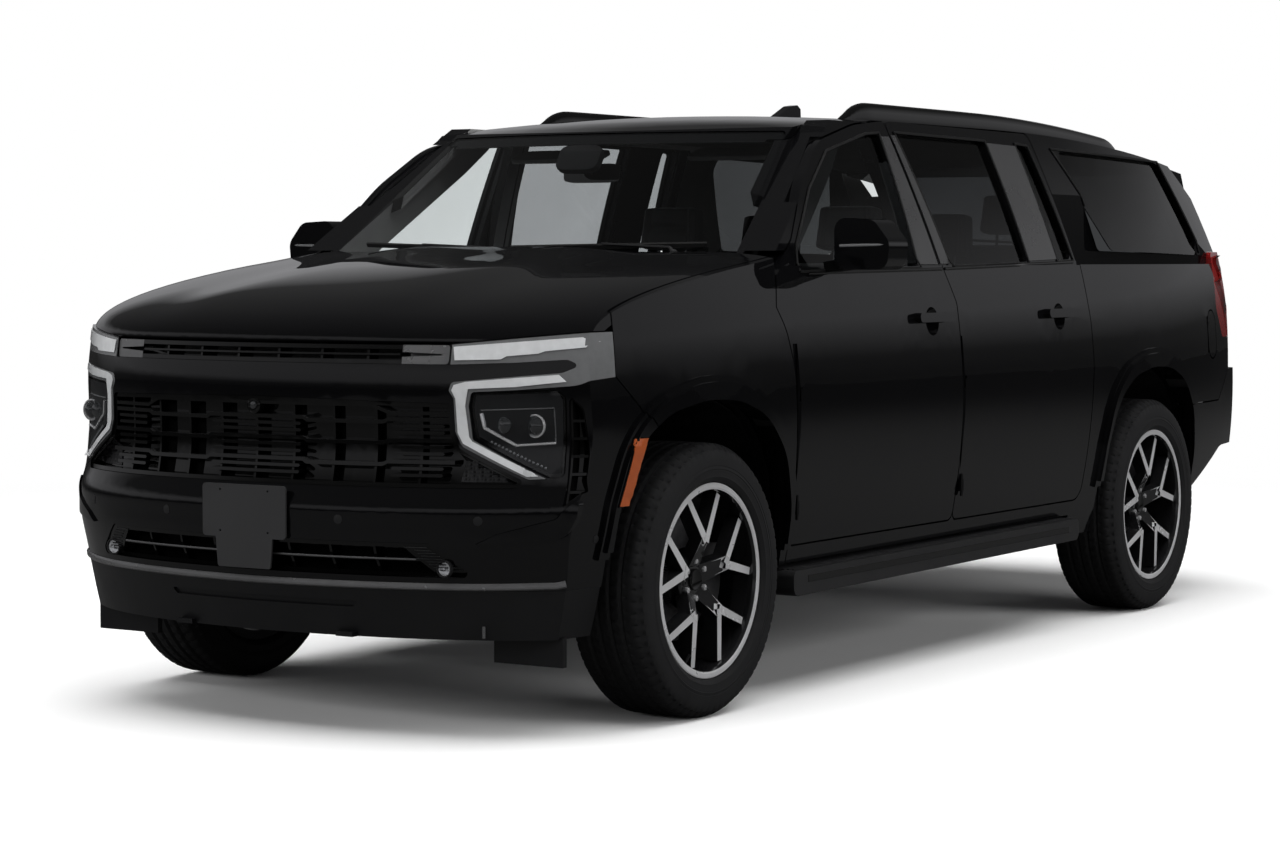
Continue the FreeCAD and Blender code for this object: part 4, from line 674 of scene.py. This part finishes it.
# Near-black sheets behind the bars and the upper strip: painted shade where the inside of the grille is dark
patch("grille_void", [(-600, 985), (600, 985), (640, 900), (640, 765), (-640, 765), (-640, 900)], grille,
      "void_black", out=-shade_sheet_depth, thick=0.0, both=(1,), even=True, step=0.04)
patch("upper_void", [(-470, 1130), (470, 1130), (470, 1085), (-470, 1085)], grille,
      "void_black", out=-shade_sheet_depth, thick=0.0, both=(1,), even=True, step=0.03)
# Corner mesh: a flat plate whose holes are painted shade
patch("corner_mesh", [(652, 836), (664, 836), (802, 756), (802, 750), (640, 750)], grille, "mesh_black",
      thick=0.002)
eye = Vector((0, on_front(["grilles", "front_bumper"], 0.0, 0.955).y + 0.004, 0.958))
barrel = revolve([(0.0, 0.026), (0.018, 0.024), (0.022, 0.018), (0.020, 0.014)], eye, 28, sign=-1)
join("grille_camera", [barrel], "gloss_black")
lens = revolve([(0.016, 0.0145), (0.022, 0.011), (0.024, 0.0)], eye, 24, sign=-1)
join("grille_camera_lens", [lens], "lens_dark")

bumper = ["front_bumper"]
sensor_rim = ((0.0135, -0.001), (0.0135, 0.00084), (0.0123, 0.0012), (0.0118, 0.0012))
sensor_face = ((0.0112, -0.001), (0.0112, 0.00112), (0.01, 0.0016), (0.0008, 0.0016))
sensors = []
for x, z in ((0.321, 0.640), (-0.321, 0.640), (0.722, 0.644), (-0.722, 0.644)):
    h = seen(bumper, "front", 1, x, z)
    if h:
        sensors += [stepped_disc(h, steps, 24) for steps in (sensor_rim, sensor_face)]
join("parking_sensors", sensors, "matte_plastic")
side_hits = [seen(bumper, "side", s, -2.436, 0.582) for s in (1, -1)]
side_steps = ((0.012, -0.001), (0.012, 0.0012), (0.0105, 0.0018), (0.001, 0.0018))
join("side_sensors", [stepped_disc(h, side_steps, 20) for h in side_hits if h], "matte_plastic")

fog_x, fog_z = 0.622, 0.505
for s, label in sides:
    at = on_front(grille, s * fog_x, fog_z)
    bezel = revolve([(-0.004, 0.027), (0.006, 0.026), (0.008, 0.023), (0.002, 0.019)], at, 32, sign=-1)
    join("fog_bezel_" + label, [bezel], "matte_plastic")
    bowl = [(0.003, 0.0195), (0.0005, 0.012), (0.0, 0.004), (0.0055, 0.0035), (0.006, 0.0)]
    join("fog_reflector_" + label, [revolve(bowl, at, 32, sign=-1)], "bright_chrome")
    lens = revolve([(0.004, 0.0198), (0.0085, 0.015), (0.0105, 0.008), (0.0112, 0.0)], at, 32, sign=-1)
    join("fog_lens_" + label, [lens], "lens_clear")
ribs = []
for s in (1, -1):
    for down in [k * 8.2 for k in range(9)]:
        z = 566 - down
        line = laid_line([(518 + down * 0.86, z), (590 + down * 1.22 - 6, z)], grille, s, out=0.001)
        if len(line) > 1:
            ribs.append(sweep(line, oval(0.0026, 0.0022, 6)))
join("pocket_ribs", ribs, "matte_plastic")
line = laid_line([(-545, 531), (545, 531)], grille, out=0.0008, step=0.03)
join("intake_bright_line", [sweep(line, oval(0.002, 0.003, 8))], "satin_chrome")

# Satin strip along the bumper's lower edge
lip_points = [(-905, 461), (-886, 456), (-700, 453), (0, 450), (700, 453), (886, 456), (905, 461)]
lip_profile = [(-0.004, -0.009), (-0.004, 0.009), (0.0035, 0.010), (0.007, 0.002), (0.0065, -0.007),
               (0.002, -0.011)]
join("lip_strip", [sweep(laid_line(lip_points, bumper, out=0.001), lip_profile)], "satin_chrome")
pin = on_front(["front_valance"], 0.703, 0.322, 0.006)
join("tow_pin", [sweep([pin - along_z * 0.018, pin + along_z * 0.016], circle(0.005, 10))], "satin_chrome")

# Sides: pillar trims, window seals, marker lamps. Side-view outlines are (y, z) in millimetres
front_window = [(y_f0 + 93, 1352), (y_b - 250, 1362), (y_b - 235, 1812), (y_b - 330, 1806),
                (y_f0 + 520, 1738), (y_f0 + 320, 1610), (y_f0 + 125, 1425)]
rear_window = [(y_b + 10, 1366), (y_b + 645, 1376), (y_b + 595, 1812), (y_b - 105, 1818)]
vent_window = [(y_c - 200, 1382), (y_c - 70, 1386), (y_c - 155, 1805), (y_c - 250, 1810)]
quarter_window = [(y_c + 365, 1430), (y_c + 1390, 1414), (y_c + 1160, 1780), (y_c + 65, 1800)]
b_trim_front = [(-444, 1368), (-294, 1368), (-365, 1806), (-430, 1806)]
b_trim_rear = [(-271, 1370), (-198, 1370), (-311, 1812), (-345, 1812)]
c_trim = [(451, 1380), (702, 1386), (653, 1806), (402, 1810)]


def grown(points, d):
    """Closed outline moved outward by d, its first point repeated at the end."""
    loop = [Vector(p) for p in points]
    loops = list(zip(loop[-1:] + loop[:-1], loop, loop[1:] + loop[:1]))
    sign = 1 if sum(b.x * c.y - c.x * b.y for _, b, c in loops) > 0 else -1
    out = []
    for a, b, c in loops:
        u, v = (b - a).normalized(), (c - b).normalized()
        nu, nv = Vector((u.y, -u.x)) * sign, Vector((v.y, -v.x)) * sign
        out.append(tuple(b + (nu + nv) * (d / max(0.25, 1 + nu.dot(nv)))))
    return out + out[:1]


for s, label in sides:
    fd, rd, bs = "front_door_" + label, "rear_door_" + label, "body_side_" + label
    for name, outline, body in (("b_pillar_trim_front_", b_trim_front, fd),
                                ("b_pillar_trim_rear_", b_trim_rear, rd),
                                ("c_pillar_trim_", c_trim, rd)):
        patch(name + label, outline, [body], "pillar_trim", body, out=0.0004, thick=0.0028, step=0.03,
              view="side", both=(s,), even=True)
    for name, outline, node, body in (("front_window_seal_", front_window, fd, fd),
                                      ("rear_window_seal_", rear_window, rd, rd),
                                      ("vent_window_seal_", vent_window, rd, rd),
                                      ("quarter_window_seal_", quarter_window, bs, "vehicle")):
        line = laid_line(grown(outline, 6), [node], s, "side", 0.0005, 0.03)
        join(name + label, [sweep(line, slab_profile(0.0045, 0.004), s * along_x)], "seal_rubber", body)
    for name, ends, body in (("belt_strip_front_", [(-1240, 1341), (-290, 1351)], fd),
                             ("belt_strip_rear_", [(-268, 1352), (838, 1374)], rd)):
        line = laid_line(ends, [body], s, "side", 0.0, 0.05)
        join(name + label, [sweep(line, oval(0.006, 0.0045, 8), s * along_x)], "gloss_black", body)
corner_nodes = ["front_bumper", "fenders"]
patch("marker_lamp", [(-2306, 866), (-2254, 866), (-2330, 673), (-2374, 673)], corner_nodes, "amber",
      out=0.0, thick=0.0045, step=0.015, view="side")
marks = []
for s in (1, -1):
    for points in ([(-2306, 868), (-2252, 868), (-2328, 671), (-2377, 671), (-2306, 868)],
                   [(-2340, 770), (-2292, 770)]):
        line = laid_line(points, corner_nodes, s, "side", 0.0015)
        if len(line) > 2:
            marks.append(sweep(line, circle(0.0022, 6), s * along_x))
join("marker_frames", marks, "gloss_black")

# Running boards: ribbed tread above, dark slot in the side
rib_x, rib_pitch, slot_x = 0.888, 0.019, 1.0042
slot_section = [(-0.012, -0.001), (-0.010, 0.0008), (0.010, 0.0008), (0.012, -0.001)]
ribs, slots = [], []
for s in (1, -1):
    for k in range(6):
        pts = []
        for j in range(30):
            h = hit(["running_boards"], (s * (rib_x + rib_pitch * k), -1.36 + 2.12 * j / 29, 0.8), -along_z)
            if h and h[0].z > 0.38:
                pts.append(h[0] + along_z * 0.0005)
        if len(pts) > 2:
            ribs.append(sweep(pts, slab_profile(0.0048, 0.003)))
    line = [Vector((s * slot_x, -1.30 + 2.0 * t, 0.372 + 0.006 * t)) for t in [j / 24 for j in range(25)]]
    slots.append(sweep(line, slot_section, s * along_x))
join("board_tread", ribs, "rubber")
join("board_slots", slots, "gloss_black")

# Mirrors: dark lower half, glass behind, lamp strip in front
mirror_outline = [(1.035, 1.372), (1.180, 1.372), (1.194, 1.390), (1.197, 1.438), (1.146, 1.500),
                  (1.045, 1.505), (1.030, 1.492), (1.028, 1.388)]
mirror_x, mirror_z = 1.11, 1.438
for s, label in sides:
    lo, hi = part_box("mirror_" + label)
    paint_faces("mirror_" + label, "black_paint", [
        ("gloss_black", lambda c, n: c.z < 1.372 or n.z < -0.6), ("dark_plastic", lambda c, n: n.y > 0.85)])
    base, edge, face = [
        [Vector((s * (mirror_x + (x - mirror_x) * size), hi.y + lift, mirror_z + (z - mirror_z) * size))
         for x, z in mirror_outline] for lift, size in ((-0.004, 1.0), (0.0015, 1.0), (0.004, 0.97))]
    body = "front_door_" + label
    join("mirror_glass_" + label, [loft([base, edge, face])], "mirror_silver", body, False)
    strip = [Vector((s * (1.03 + 0.165 * t), lo.y - 0.0005 + 0.004 * t ** 3, 1.428 + 0.004 * t))
             for t in [k / 8 for k in range(9)]]
    join("mirror_signal_" + label, [sweep(strip, oval(0.003, 0.0045, 8))], "lamp_grey", body)


# Wipers on the windshield
def on_screen(x, z, out):
    h = hit(["windshield"], (x, -3.2, z), along_y)
    if not h:
        return None
    n = h[1] if h[1].y < 0 else -h[1]
    return h[0] + n * out


blade_profile = [(-0.006, 0.004), (-0.002, 0.009), (0.003, 0.009), (0.007, 0.002), (0.001, -0.008),
                 (-0.001, -0.008)]
pivot_profile = [(0.0, 0.013), (0.014, 0.012), (0.018, 0.007), (0.019, 0.0)]
wipers = (((0.70, 1.424), (0.06, 1.412), (0.62, 1.404)), ((0.0, 1.408), (-0.62, 1.424), (0.10, 1.398)))
for k, ((x0, z0), (x1, z1), pivot) in enumerate(wipers):
    blade = [on_screen(x0 + (x1 - x0) * j / 16, z0 + (z1 - z0) * j / 16, 0.009) for j in range(17)]
    blade = [p for p in blade if p]
    arm_end = blade[len(blade) // 2] + Vector((0, -0.006, 0.006))
    root = on_screen(*pivot, 0.016) or blade[0]
    arm = dense([root + Vector((0, -0.014, -0.012)), root + Vector((-0.02, -0.004, 0.004)), arm_end], 0.05)
    join("wiper_blade_%d" % k, [sweep(blade, blade_profile)], "seal_rubber")
    hub = revolve(pivot_profile, root + Vector((0, -0.010, -0.02)), 16, "z")
    join("wiper_arm_%d" % k, [sweep(arm, slab_profile(0.006, 0.006)), hub], "matte_plastic")

# Tail: lamp guides, gate handle, wiper, reflectors, tail pipe
paint_faces("tail_lamps", "tail_red")
tail, gate = ["tail_lamps"], ["liftgate"]
patch("tail_guide", [(735, 1388), (800, 1388), (800, 1372), (752, 1370), (750, 1100), (800, 1098),
                     (800, 1082), (735, 1082)], tail, "lamp_grey", view="back")
patch("tail_cover", [(724, 1402), (900, 1402), (900, 1070), (724, 1070)], tail, "tail_lens",
      out=0.006, thick=0.0, view="back")
handle = laid_line([(-250, 1110), (250, 1110)], gate, view="back", step=0.03)
handle_profile = [(-0.012, 0.0), (-0.014, 0.012), (-0.004, 0.020), (0.012, 0.018), (0.016, 0.0)]
join("gate_handle", [sweep(handle, handle_profile, along_y)], "gloss_black", "liftgate")
patch("gate_plate_recess", [(-270, 1080), (270, 1080), (250, 930), (-250, 930)], gate, "dark_plastic",
      "liftgate", out=0.0005, both=(1,), view="back", step=0.05)
patch("gate_blank_plate", [(-152, 1068), (152, 1068), (152, 944), (-152, 944)], gate, "plate_grey",
      "liftgate", out=0.004, both=(1,), view="back", step=0.05)
gate_window = [(-590, 1748), (590, 1748), (650, 1415), (-650, 1415)]
line = laid_line(grown(gate_window, 8), gate, view="back", out=0.0005, step=0.03)
join("rear_window_seal", [sweep(line, slab_profile(0.005, 0.004), along_y)], "seal_rubber", "liftgate")
wiper = laid_line([(-20, 1452), (-380, 1470)], ["rear_glass", "liftgate"], view="back", out=0.012, step=0.03)
arm = sweep(wiper, [(-0.005, -0.006), (-0.005, 0.005), (0.005, 0.006), (0.006, -0.006)], along_y)
hub = revolve([(-0.006, 0.020), (0.016, 0.018), (0.022, 0.010), (0.023, 0.0)], wiper[0], 18)
join("rear_wiper", [arm, hub], "matte_plastic", "liftgate")
patch("rear_reflector", [(600, 742), (780, 742), (780, 716), (610, 716)], ["rear_bumper"], "tail_red",
      out=0.0, thick=0.004, view="back")
rear_hits = [seen(["rear_bumper"], "back", 1, x, 0.69) for x in (0.27, -0.27, 0.68, -0.68)]
button = [(-0.002, 0.0125), (0.001, 0.0125), (0.0018, 0.011), (0.0018, 0.0)]
join("rear_sensors", [revolve(button, h[0], 20) for h in rear_hits if h], "matte_plastic")
tip = Vector((-0.25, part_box("exhaust")[1].y, 0.43))
tip_profile = [(-0.14, 0.0335), (0.024, 0.0345), (0.026, 0.033), (0.024, 0.0315), (-0.06, 0.031)]
join("exhaust_tip", [revolve(tip_profile, tip, 36)], "bright_chrome")

# Liner and pillar colours seen from inside
paint_faces("roof_panel", "black_paint", [("headliner", lambda c, n: n.z < -0.5 and c.z < 1.87)])
for s, label in sides:
    paint_faces("body_side_" + label, "black_paint", [
        ("headliner", lambda c, n: n.x * s < -0.35 and c.z > 1.40 and abs(c.x) < 0.9),
        ("dark_plastic", lambda c, n: n.x * s < -0.35 and abs(c.x) < 0.905)])
    for door in ("front_door_", "rear_door_"):
        paint_faces(door + label, "black_paint", [
            ("dash_leather", lambda c, n: n.x * s < -0.8 and c.z < belt_z and abs(c.x) < 0.93),
            ("pillar_trim", lambda c, n: n.x * s < -0.5 and c.z > belt_z)])
paint_faces("front_bumper", "black_paint", [("dark_plastic", lambda c, n: n.y > 0.4 and abs(n.x) < 0.5)])
paint_faces("liftgate", "black_paint", [("headliner", lambda c, n: n.y < -0.5 and c.z > 1.0)])

# Roof rails: smooth bars that run down into the roof at both ends
rail_x, rail_start, rail_length, foot_depth = 0.627, -0.408, 2.406, 0.006
roof = ["roof_panel", "body_side_left", "body_side_right"]
rail_section = ((-1, 0), (-1.05, 0.45), (-0.9, 0.8), (-0.45, 0.97), (0.1, 1.0), (0.6, 0.93), (0.95, 0.7),
                (1.1, 0.35), (1.1, 0))
rails = []
for s in (1, -1):
    rings = []
    for t in [k / 80 for k in range(81)]:
        y = rail_start + rail_length * t
        under = hit(roof, (s * rail_x, y, above), -along_z)
        bar = hit(["roof_rails"], (s * rail_x, min(max(y, -0.40), 1.99), above), -along_z)
        if not under or not bar:
            continue
        end = min(t / 0.075, (1 - t) / 0.075, 1.0)
        rise = max(0.004, (bar[0].z - under[0].z) * (1 - (1 - end) ** 2.2)) + foot_depth
        half, foot = 0.011 + 0.007 * end, under[0].z - foot_depth
        rings.append([Vector((s * rail_x + w * half, y, foot + rise * h)) for w, h in rail_section])
    rails.append(loft(rings))
rail = join("roof_bars", rails, "gloss_black")
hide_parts("roof_rails")

# Dark closing skirts: sill above the running board, and inside the wheel arches
skirt_section = [(-0.003, -0.03), (-0.003, 0.11), (0.003, 0.11), (0.003, -0.03)]
skirts = []
for s in (1, -1):
    line = [Vector((s * 0.868, -1.392 + 2.18 * k / 20, 0.385)) for k in range(21)]
    skirts.append(sweep(line, skirt_section))
join("sill_skirts", skirts, "dark_plastic")
arch = [(-500, 560), (-484, 680), (-450, 780), (-405, 850), (-330, 905), (-250, 940), (-150, 958), (-60, 966),
        (120, 958), (210, 938), (290, 905), (355, 850), (410, 780), (448, 700), (470, 600)]
band_x, band_lift = 0.84, 0.004
band_section = ((-0.26, 0.004), (0.088, 0.004), (0.088, 0.009), (-0.26, 0.009))
bands = []
for axle in (axle_f, axle_r):
    for s in (1, -1):
        line = smooth_line([(s * band_x, axle + y / 1000, z / 1000 + band_lift) for y, z in arch], 4)
        ring = []
        for i, p in enumerate(line):
            d = (line[min(i + 1, len(line) - 1)] - line[max(i - 1, 0)]).normalized()
            n = Vector((0, -d.z, d.y))
            if n.dot(p - Vector((p.x, axle, hub_z))) < 0:
                n = -n
            ring.append([p + Vector((dx, 0, 0)) * s + n * h for dx, h in band_section])
        bands.append(loft(ring))
join("arch_bands", bands, "dark_plastic")


# Seats: crowned cushions with bolsters and sewn channels
def pillow(base, along, across, face, length, width, thick, bolster, channels, rows=26, taper=0.0):
    """Closed padded form. base is the middle of its lower end; along, across and face are unit vectors."""
    around, squareness, close_share, seam_at = 36, 0.35, 0.09, 0.66
    rings = []
    for i in range(rows + 1):
        t = i / rows
        close = min(1.0, min(t, 1 - t) / close_share)
        swell = math.sqrt(max(0.0, 1 - (1 - close) ** 2))
        w = width / 2 * (1 - taper * t) * (0.86 + 0.14 * swell)
        h = thick / 2 * (0.18 + 0.82 * swell)
        dip = sum(0.011 * math.exp(-((t - c) * length / 0.011) ** 2) for c in channels)
        ring = []
        for a in turns(around):
            ca, sa = math.cos(a), math.sin(a)
            px, pz = w * power(ca, squareness), h * power(sa, squareness)
            u = px / w
            if sa > 0:
                pz += thick * 0.10 * (1 - u * u) * swell
                roll_off = 1 - 0.6 * max(0.0, (abs(u) - 0.86) / 0.14)
                pz += thick * bolster * max(0.0, (abs(u) - 0.62) / 0.38) ** 1.5 * swell * roll_off
                pz -= dip * (1 if abs(u) < seam_at else 0.15)
                pz -= 0.012 * math.exp(-((abs(u) - seam_at) * w / 0.010) ** 2) * swell
            if abs(sa) < 0.25:
                px *= 1 - 0.02 * math.cos(sa * 6)
            ring.append(base + along * (length * t) + across * px + face * pz)
        rings.append(ring)
    return loft(rings)


def seat_set(name, node, x_out, y, z, width, depth, height, rake, floor_z):
    """A pair of seats; y is the cushion's front, z its underside, floor_z the floor below them."""
    up_dir, face_dir = Vector((0, rake / height, 1)).normalized(), Vector((0, -1, rake / height)).normalized()
    for label, x in (("left", x_out), ("right", -x_out)):
        cushion = pillow(Vector((x, y + 0.012, z + 0.085)), Vector((0, 1, 0.05)).normalized(), along_x,
                         Vector((0, -0.05, 1)).normalized(), depth - 0.10, width - 0.02, 0.15,
                         0.20, (0.22, 0.40, 0.58, 0.76))
        backrest = pillow(Vector((x, y + depth - 0.065, z + 0.135)), up_dir, along_x, face_dir,
                          height - 0.135, width - 0.03, 0.115, 0.42, (0.18, 0.34, 0.50, 0.66, 0.82),
                          taper=0.12)
        top = Vector((x, y + depth + rake - 0.05, z + height + 0.035))
        rest = pillow(top, Vector((0, 0.12, 1)).normalized(), along_x, Vector((0, -1, 0.12)).normalized(),
                      0.165, 0.25, 0.085, 0.12, (0.5,), rows=18, taper=0.10)
        for part, form, fill in (("cushion", cushion, 0.8), ("back", backrest, 0.8), ("headrest", rest, 0.9)):
            ob = join("%s_%s_%s" % (name, part, label), [form], "seat_leather")
            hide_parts(node)
            ob.modifiers.new("smooth", "SUBSURF").levels = 1
        posts, seams, shroud = [], [], []
        seam_x = (width / 2 - 0.018) * 0.66
        for s in (-1, 1):
            foot = top + Vector((s * 0.06, 0, -0.05))
            posts.append(sweep([foot, foot + Vector((0, 0.006, 0.08))], circle(0.006, 10)))
            line = [Vector((x + s * seam_x, y + 0.03 + (depth - 0.15) * t,
                            z + 0.165 + 0.022 * math.sin(math.pi * t))) for t in [k / 16 for k in range(17)]]
            seams.append(sweep(line, circle(0.0016, 6)))
            x0, y0, y1 = x + s * (width / 2 - 0.06), y + 0.05, y + depth - 0.09
            shroud.append(loft([[Vector((x0 - 0.022, y0, zz)), Vector((x0 + 0.022, y0, zz)),
                                 Vector((x0 + 0.022, y1, zz)), Vector((x0 - 0.022, y1, zz))]
                                for zz in (floor_z, floor_z + 0.02, z + 0.015)]))
        join("%s_posts_%s" % (name, label), posts, "satin_chrome")
        join("%s_seams_%s" % (name, label), seams, "seam_thread")
        join("%s_base_%s" % (name, label), shroud, "dark_plastic", smooth=False)


low_floor, high_floor = 0.623, 0.813
seat_set("front_seat", "front_seats", 0.38, -0.52, 0.74, 0.52, 0.56, 0.64, 0.13, low_floor)
seat_set("middle_seat", "middle_seats", 0.38, 0.30, 0.74, 0.52, 0.49, 0.62, 0.13, low_floor)
seat_set("third_seat", "third_seats", 0.275, 1.25, 0.93, 0.50, 0.40, 0.52, 0.11, high_floor)


# Dashboard: screens, vents, wheel pad; inner mirror and sun visors
def plate(center, w, h, t, normal, corner=0.25):
    """Rounded plate with a softened rim."""
    nrm = Vector(normal).normalized()
    u, v = frame_of(nrm)
    rings = []
    for scale, lift in ((1.0, -t), (1.0, 0.0), (0.985, t * 0.25), (0.9, t * 0.3)):
        rings.append([Vector(center) + u * (w * scale * power(math.cos(a), corner))
                      + v * (h * scale * power(math.sin(a), corner)) + nrm * lift for a in turns(28)])
    return loft(rings)


wheel_centre, wheel_r = Vector((0.38, -0.77, 1.13)), 0.185
axis = Vector((0, 0.906, 0.423)).normalized()
join("centre_screen", [plate((0.02, -0.905, 1.225), 0.21, 0.085, 0.018, (0, 1, 0.25))], "lens_dark")
join("driver_display", [plate((0.38, -0.93, 1.225), 0.15, 0.06, 0.018, (0, 1, 0.25))], "lens_dark")
vents = [plate((x, -0.872, 1.06), 0.06, 0.032, 0.012, (0, 1, 0.1)) for x in (0.60, -0.60, 0.16, -0.12)]
join("dash_vents", vents, "dark_plastic")
pad = plate(wheel_centre + axis * 0.017, 0.075, 0.06, 0.010, axis, 0.5)
join("wheel_pad", [pad], "dash_leather", "steering_wheel")
grip = []
for first, last in ((20, 70), (110, 160)):
    pts = [wheel_centre + (along_x * math.cos(a) - along_x.cross(axis) * math.sin(a)) * wheel_r
           for a in [math.radians(d) for d in range(first, last + 1, 5)]]
    grip.append(sweep(pts, circle(0.0168, 14)))
join("wheel_grips", grip, "dash_leather", "steering_wheel")
house = on_screen(0.0, 1.735, 0.0)
join("camera_housing", [plate(house + Vector((0, 0.022, -0.01)), 0.085, 0.05, 0.02, (0, -1, 0.6), 0.45)],
     "dark_plastic")
q = house + Vector((0, 0.115, -0.060))
stalk = sweep([q + Vector((0, -0.01, 0)), q + Vector((0, -0.05, 0.045))], circle(0.009, 10))
join("inner_mirror", [plate(q, 0.115, 0.032, 0.014, (0, 1, -0.1), 0.35), stalk], "gloss_black")
visors = [plate((s * 0.37, -0.66, 1.752), 0.19, 0.055, 0.012, (0, -0.35, 1), 0.3) for s in (-1, 1)]
join("sun_visors", visors, "headliner")
selector = [(0, -0.56, 0.90), (0, -0.575, 0.97), (0, -0.58, 0.99)]
join("selector", [sweep(selector, circle(0.016, 12))], "gloss_black")

# Camera: fitted to the photograph; the focal length is in its pixels
azimuth, elevation, roll = 0.561853944, 0.0557200705, 0.00152499725
focal, photo_width, sensor = 3049.6687, 1280, 36.0
back = Vector((math.sin(azimuth) * math.cos(elevation), -math.cos(azimuth) * math.cos(elevation),
               math.sin(elevation)))
right = (-back).cross(along_z).normalized()
up = right.cross(-back)
turned_right = math.cos(roll) * right + math.sin(roll) * up
turned_up = -math.sin(roll) * right + math.cos(roll) * up
pose = Matrix((turned_right, turned_up, back)).transposed().to_4x4()
pose.translation = Vector((5.68932723, -9.74693273, 1.38996430))
camera = bpy.data.objects.new("camera", bpy.data.cameras.new("camera"))
camera.data.sensor_width = sensor
camera.data.lens = focal / photo_width * sensor
camera.data.clip_end = 400
camera.matrix_world = pose
scene.collection.objects.link(camera)
scene.camera = camera
scene.view_settings.view_transform = "Standard"

# Studio: white to the camera, and a softly graded dim room that only reflections and light see
world = bpy.data.worlds.new("studio")
scene.world = world
world.use_nodes = True
nt = world.node_tree
nt.nodes.clear()
white = add(nt, "ShaderNodeBackground", Color=(1, 1, 1, 1))
room = add(nt, "ShaderNodeBackground", Strength=1.0)
sep = add(nt, "ShaderNodeSeparateXYZ")
link(nt, add(nt, "ShaderNodeTexCoord").outputs["Generated"], sep.inputs["Vector"])
room_stops = [(0.0, (0.03, 0.03, 0.03)), (0.03, (0.05, 0.05, 0.05)), (0.09, (0.30, 0.30, 0.31)),
              (0.20, (0.34, 0.34, 0.35)), (0.32, (0.06, 0.06, 0.06)), (1.0, (0.07, 0.07, 0.07))]
link(nt, ramp(nt, sep.outputs["Z"], room_stops), room.inputs["Color"])
camera_ray = add(nt, "ShaderNodeLightPath").outputs["Is Camera Ray"]
blend(nt, camera_ray, room.outputs["Background"], white.outputs["Background"],
      add(nt, "ShaderNodeOutputWorld"))

# Floor: pale to the camera, dark to other rays, fading to white far from the vehicle
floor_half, fade_start, fade_end = 90, 4.0, 9.0
floor_mesh = bpy.data.meshes.new("floor")
corners = [(sx * floor_half, sy * floor_half, 0) for sx, sy in ((-1, -1), (1, -1), (1, 1), (-1, 1))]
floor_mesh.from_pydata(corners, [], [(0, 1, 2, 3)])
floor = bpy.data.objects.new("floor", floor_mesh)
scene.collection.objects.link(floor)
m, nt, b = new_mat("floor_paint")
co = obj_coords(nt)
camera_ray = add(nt, "ShaderNodeLightPath").outputs["Is Camera Ray"]
tone = add(nt, "ShaderNodeMix", data_type="RGBA")
link(nt, camera_ray, tone.inputs[0])
tone.inputs[6].default_value = (0.07, 0.07, 0.07, 1)
pale_stops = [(0.3, (0.84, 0.84, 0.84)), (0.7, (0.87, 0.87, 0.87))]
link(nt, ramp(nt, noise_tex(nt, 0.5, 3, 0.5, co), pale_stops), tone.inputs[7])
link(nt, tone.outputs[2], b.inputs["Base Color"])
tune(b, Roughness=0.7, Specular_IOR_Level=0.1)
reach = add(nt, "ShaderNodeVectorMath", operation="LENGTH")
link(nt, co, reach.inputs[0])
fade = add(nt, "ShaderNodeMapRange", interpolation_type="SMOOTHSTEP", From_Min=fade_start, From_Max=fade_end)
link(nt, reach.outputs["Value"], fade.inputs["Value"])
far_seen = add(nt, "ShaderNodeMath", operation="MULTIPLY")
link(nt, camera_ray, far_seen.inputs[0])
link(nt, fade.outputs["Result"], far_seen.inputs[1])
bright = add(nt, "ShaderNodeEmission", Color=(1, 1, 1, 1))
blend(nt, far_seen.outputs["Value"], b.outputs["BSDF"], bright.outputs["Emission"])
floor_mesh.materials.append(m)


def softbox(name, spot, target, width, height, watts):
    light = bpy.data.lights.new(name, "AREA")
    light.shape = "RECTANGLE"
    light.size, light.size_y = width, height
    light.energy = watts
    ob = bpy.data.objects.new(name, light)
    ob.location = spot
    ob.rotation_euler = (Vector(target) - Vector(spot)).to_track_quat("-Z", "Y").to_euler()
    ob.visible_glossy = False
    scene.collection.objects.link(ob)


softbox("overhead", (0, 0, 9), (0, 0, 0), 16, 16, 2600)
softbox("side_light", (14, 2, 5), (0, 0, 1), 10, 5, 900)
softbox("front_light", (-3, -15, 6), (0, 0, 1), 10, 4, 900)
